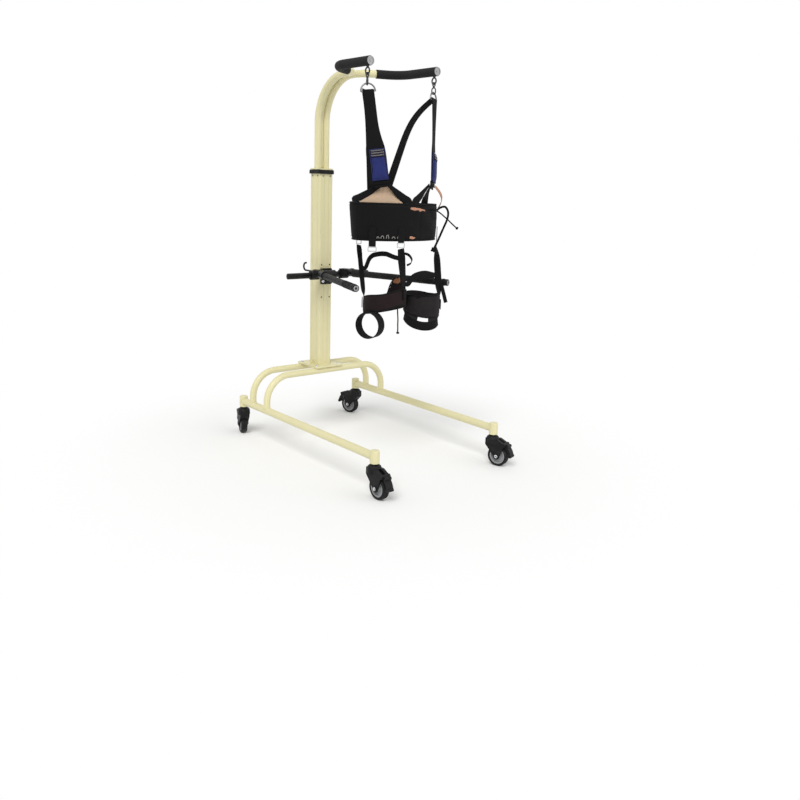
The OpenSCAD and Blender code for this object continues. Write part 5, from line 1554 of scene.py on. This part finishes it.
    def build_strap_fittings(self) -> None:
        """Add the sliders, the slack loop, the free tail and the sewn feet of the leg straps."""
        frames, deep = [], self.strap_t / 2 + 0.0022
        for number, share in self.slider_shares:
            place = self.hang(number, share)[0]
            way = unit(self.hang(number, 1)[0] - place)
            out = unit(np.cross(way, self.facing(number, share)))
            across = np.cross(out, way)
            for shift in (-self.slider_tall, self.slider_tall):
                middle = place + way * shift
                ring = [middle + across * a * self.slider_half + out * b * deep for a, b in CORNERS]
                frames.append(tube("bar", ring, 0.0018, 8, True, 1.0, 3))
        self.add(join("strap_sliders", frames), BLACK_PLASTIC, "black_plastic")
        loop = np.array([
            [49, 325, 1022], [36, 333, 1020], [26, 342, 1011], [21, 350, 995], [27, 350, 980], [42, 341, 971],
        ]) / 1000
        tail = np.array([[-203, 315, 872], [-207, 323, 846], [-210, 334, 814], [-212, 344, 786]]) / 1000
        made = [
            Ribbon("slack_loop", loop, (0.45, 0.75, 0.5), 0.022).build(),
            Ribbon("free_tail", tail, (-0.76, 0.65, 0), 0.018).build(),
        ]
        lines, drops = [], np.linspace(0.004, 0.05, 5)
        for number, (_, side, angle) in enumerate(self.feet):
            rim = self.cuff_rim(side, angle)
            face = [self.cuff_point(side, angle, 1, 1.2) - UP * d for d in drops]
            made.append(Ribbon(f"sewn_foot_{number}", face, rim, self.leg_strap_w).build())
            outer = [self.cuff_point(side, angle, 1, 1.38) - UP * d for d in drops[1:]]
            lines += [[p + rim * edge for p in outer] for edge in (-0.012, 0.012)]
        self.add(join("strap_ends", made), WEBBING, "black_webbing")
        BEADS.run("foot_stitches", lines, SEAM, self.body, "black_webbing")

    def build_cuffs(self) -> None:
        """Build both thigh cuffs as swollen bands with bound edges, and the suede face of the near tongue."""
        for side in Side:
            place, a, b, tilt = self.cuff_form(side)
            name, near = side.word, side is Side.NEAR
            cuff = self.band(f"{name}_thigh_cuff", place, (a, b), self.cuff_h, self.cuff_t, tilt, 0.0012, side)
            cuff = Inflate(voxel=0.004, cap=0.0025).run(cuff)
            map_round(cuff, place, 0.09)
            self.add(cuff, CUFF_CLOTH if near else FAR_CUFF_CLOTH, "cuff_fabric", f"{name}_cuff")
            if near:
                self.face_tongue(cuff)
            edges = []
            for end in (-1, 1):
                ring = []
                for t in range(0, 360, 4):
                    level = max(0, end) * self.edge_lift(side, t) - self.edge_sag(side, t) - end * 0.003
                    ring.append(self.cuff_point(side, t, end) + UP * level)
                edges.append(tube("edge", ring, 0.003, 8, True, 1.1, 2))
            self.add(join(f"{name}_cuff_binding", edges), WEBBING, "black_webbing")

    def face_tongue(self, cuff: Piece) -> None:
        """Give the upper inner face of the near cuff's tongue its suede."""
        cuff.data.materials.append(SUEDE.material())
        for face in cuff.data.polygons:
            away = np.array([face.center.x - self.near_cuff[0], face.center.y - self.near_cuff[1], 0.0])
            angle = math.degrees(math.atan2(away[1], away[0])) % 360
            reach = ((angle - 193) / 19) ** 2 + ((face.center.z - 0.891) / 0.021) ** 2
            if Vector(unit(away)).dot(face.normal) < -0.3 and reach < 1:
                face.material_index = 1

    def sling_top(self, share: float) -> tuple[Points, float]:
        """Give the far cuff's lower edge above the sling and the sling's sag, at a share of its width."""
        return self.cuff_point(Side.FAR, -25 + 145 * share, -1), self.sling_sag * math.sin(math.pi * share)

    def build_loops(self) -> None:
        """Build the near leg loop, the far sling and the cloth webs above it."""
        face = math.radians(self.loop_angle)
        axis = np.array([math.cos(face), math.sin(face), 0.0])
        side = np.array([-math.sin(face), math.cos(face), 0.0])
        drop = (self.loop_r + self.strap_t / 2) * (math.hypot(1, self.near_tilt) - 1) + self.strap_t / 2
        top = self.cuff_point(Side.NEAR, 8, -1) - UP * drop
        turns = full_turn(self.loop_steps)
        points = [top + (side * math.cos(t) + UP * (math.sin(t) - 1)) * self.loop_r for t in turns]
        loop = Ribbon("near_loop", points, axis, self.loop_w, self.strap_t, closed=True).build()
        seats = [self.sling_top(t) for t in np.linspace(0, 1, 11)]
        hang = [edge - UP * (self.sling_w / 2 + sag) for edge, sag in seats]
        sling = Ribbon("far_sling", hang, UP, self.sling_w, self.strap_t).build()
        self.add(join("loop_webbing", [loop, sling]), WEBBING, "black_webbing", "leg_loops")
        webs = []
        for number, ends in enumerate(((0.0, 0.42), (0.66, 1.0))):
            seats = [self.sling_top(t) for t in np.linspace(*ends, 8)]
            middle = [edge - UP * (sag / 2 - 0.002) for edge, sag in seats]
            webs.append(Ribbon(f"web_{number}", middle, UP, [sag + 0.014 for _, sag in seats], 0.0024).build())
        self.add(join("sling_webs", webs), FAR_CUFF_CLOTH, "cuff_fabric")

    def build_cords(self) -> None:
        """Build the free lace and ties on their routes, given in millimetres from where they leave."""
        lace = np.array([
            [0, 0, 0], [-9, 6, 9], [-23, 10, 15], [-37, 14, 16], [-47, 18, 7],
            [-52, 22, -10], [-49, 24, -30], [-41, 24, -51], [-30, 23, -72], [-18, 23, -93],
            [-5, 25, -113], [9, 29, -131], [25, 35, -148], [41, 41, -164], [57, 47, -178],
        ]) / 1000
        tie = np.array([
            [0, 0, 0], [-12, 9, 2], [-27, 18, -3], [-42, 27, -13], [-57, 35, -26],
            [-72, 43, -39], [-86, 51, -53], [-99, 59, -66], [-112, 67, -78],
        ]) / 1000
        drop = np.array([
            [0, 0, 0], [0, 1, -20], [-1, 2, -40], [-2, 3, -60], [-2, 3, -80], [-3, 3, -100], [-3, 3, -122],
        ]) / 1000
        upper = self.belt_top - self.belt_h / 2 + self.belt_h / 3
        lace_exit = self.belt_point(140, self.belt_t + self.lace_d / 4, upper)
        tie_exit = self.belt_point(118, self.belt_t + self.tie_d / 8, upper)
        self.cord("lace_cord", lace_exit + lace, self.lace_d, "belt_lace")
        self.cord("tie_cord", tie_exit + tie, self.tie_d, "belt_tie")
        self.cord("cuff_cord", self.cuff_point(Side.NEAR, 88, -1) + drop, self.tie_d, "cuff_tie")

    def cord(self, name: str, route: Points, diameter: float, node: str) -> None:
        """Build a free cord along its route, with a knot at its end.

        Args:
            name: Name of the cord.
            route: Its points in metres.
            diameter: Its thickness in metres.
            node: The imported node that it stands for.
        """
        path = smooth_path(route, 6)
        piece = tube(name, path, diameter / 2, 12, per_span=1)
        self.add(piece, CORD_BRAID, "black_webbing", node)
        way = unit(path[-1] - path[-2])
        side = unit(np.cross(way, ASIDE))
        up, scale = np.cross(side, way), diameter * 0.3
        ring = []
        for t in full_turn(24):
            x, y = math.sin(t) + 2 * math.sin(2 * t), math.cos(t) - 2 * math.cos(2 * t)
            ring.append(path[-1] + scale * (side * x + up * y - way * 1.4 * math.sin(3 * t)))
        knot = tube(name + "_knot", ring, diameter * 0.42, 10, True, 1.0, 3)
        self.add(knot, CORD_BRAID, "black_webbing")


@dataclass
class Studio:
    """Camera, lamps and pale floor."""

    place: tuple = (2.443, 3.07, 1.3)
    right: tuple = (-0.75798, 0.65135, 0.03475)
    up: tuple = (-0.1411, -0.21575, 0.9662)
    ahead: tuple = (-0.63684, -0.72745, -0.25545)
    focal: float = 35.775
    sensor: float = 36.0
    key: float = 1.7
    fill: float = 0.9
    ambient: float = 0.55
    white: tuple = (1.0, 1.0, 1.0, 1.0)
    floor_colour: tuple = (0.92, 0.92, 0.91, 1.0)
    floor_half: float = 30.0
    floor_fade: tuple = (0.7, 1.7)

    def build(self) -> None:
        """Set the camera, the light and the floor."""
        data = bpy.data.cameras.new("camera")
        data.lens = self.focal
        data.sensor_width = self.sensor
        camera = add_object("camera", data)
        back = [-c for c in self.ahead]
        rows = [[self.right[i], self.up[i], back[i], self.place[i]] for i in range(3)] + [[0, 0, 0, 1]]
        camera.matrix_world = Matrix(rows)
        bpy.context.scene.camera = camera
        bpy.context.scene.view_settings.view_transform = "Standard"
        self.lamp("key_lamp", self.key, (0.9, 0.62, 1.25), 30)
        self.lamp("fill_lamp", self.fill, (-0.5, 1.2, 0.5), 60)
        self.world()
        self.floor()

    def lamp(self, name: str, strength: float, towards: tuple, spread: float) -> None:
        """Add a soft sun that shines from a direction."""
        data = bpy.data.lights.new(name, "SUN")
        data.energy = strength
        data.angle = math.radians(spread)
        add_object(name, data).rotation_euler = Vector(towards).to_track_quat("Z", "Y").to_euler()

    def world(self) -> None:
        """Light the scene softly, with white behind it for what looks straight or by reflection."""
        world = bpy.data.worlds.new("studio")
        bpy.context.scene.world = world
        world.use_nodes = True
        graph = NodeGraph(world.node_tree)
        background = graph.tree.nodes["Background"].inputs
        background["Color"].default_value = self.white
        levels = {"Value": self.seen(graph), "To Min": self.ambient, "To Max": 1.0}
        graph.link(graph.add("ShaderNodeMapRange", levels).outputs["Result"], background["Strength"])

    @staticmethod
    def seen(graph: NodeGraph) -> Socket:
        """Give one for rays that the camera, a gloss or a clear piece sees."""
        path = graph.add("ShaderNodeLightPath").outputs
        value = path["Is Camera Ray"]
        for name in ("Is Glossy Ray", "Is Transmission Ray"):
            value = graph.add("ShaderNodeMath", {0: value, 1: path[name]}, operation="MAXIMUM").outputs[0]
        return value

    def floor(self) -> None:
        """Lay a pale floor that turns to plain white away from the object."""
        corners = [(x * self.floor_half, y * self.floor_half, 0) for x, y in CORNERS]
        floor = mesh_object("floor", corners, [[0, 1, 2, 3]])
        graph = ShaderGraph("pale_floor")
        graph.constant(Base_Color=self.floor_colour, Roughness=0.9, Specular_IOR_Level=0.1)
        place, (start, end) = graph.coords(Coords.OBJECT), self.floor_fade
        away = graph.add("ShaderNodeVectorMath", {0: place}, operation="LENGTH").outputs["Value"]
        ends = {"Value": away, "From Min": start, "From Max": end}
        fade = graph.add("ShaderNodeMapRange", ends, interpolation_type="SMOOTHSTEP").outputs["Result"]
        share = graph.math("MULTIPLY", self.seen(graph), fade)
        glow = graph.add("ShaderNodeEmission", {"Color": self.white}).outputs[0]
        both = graph.add("ShaderNodeMixShader", {0: share, 1: graph.shader.outputs[0], 2: glow})
        graph.link(both.outputs[0], graph.tree.nodes["Material Output"].inputs["Surface"])
        floor.data.materials.append(graph.material)


def main() -> None:
    """Build the studio and every sub-assembly."""
    logging.basicConfig(level=logging.INFO, format="%(message)s")
    Studio().build()
    Harness().build()
    BaseFrame().build()
    LiftColumn().build()
    ForkedMast().build()
    Handles().build()
    for name, x, y, yaw in (
        ("near_front", 0.375, 0.556, 90.0), ("far_front", -0.375, 0.556, 105.0),
        ("near_rear", 0.375, -0.556, -109.0), ("far_rear", -0.375, -0.556, -74.0),
    ):
        Caster(name, x, y, yaw).build()


if __name__ == "__main__":
    main()
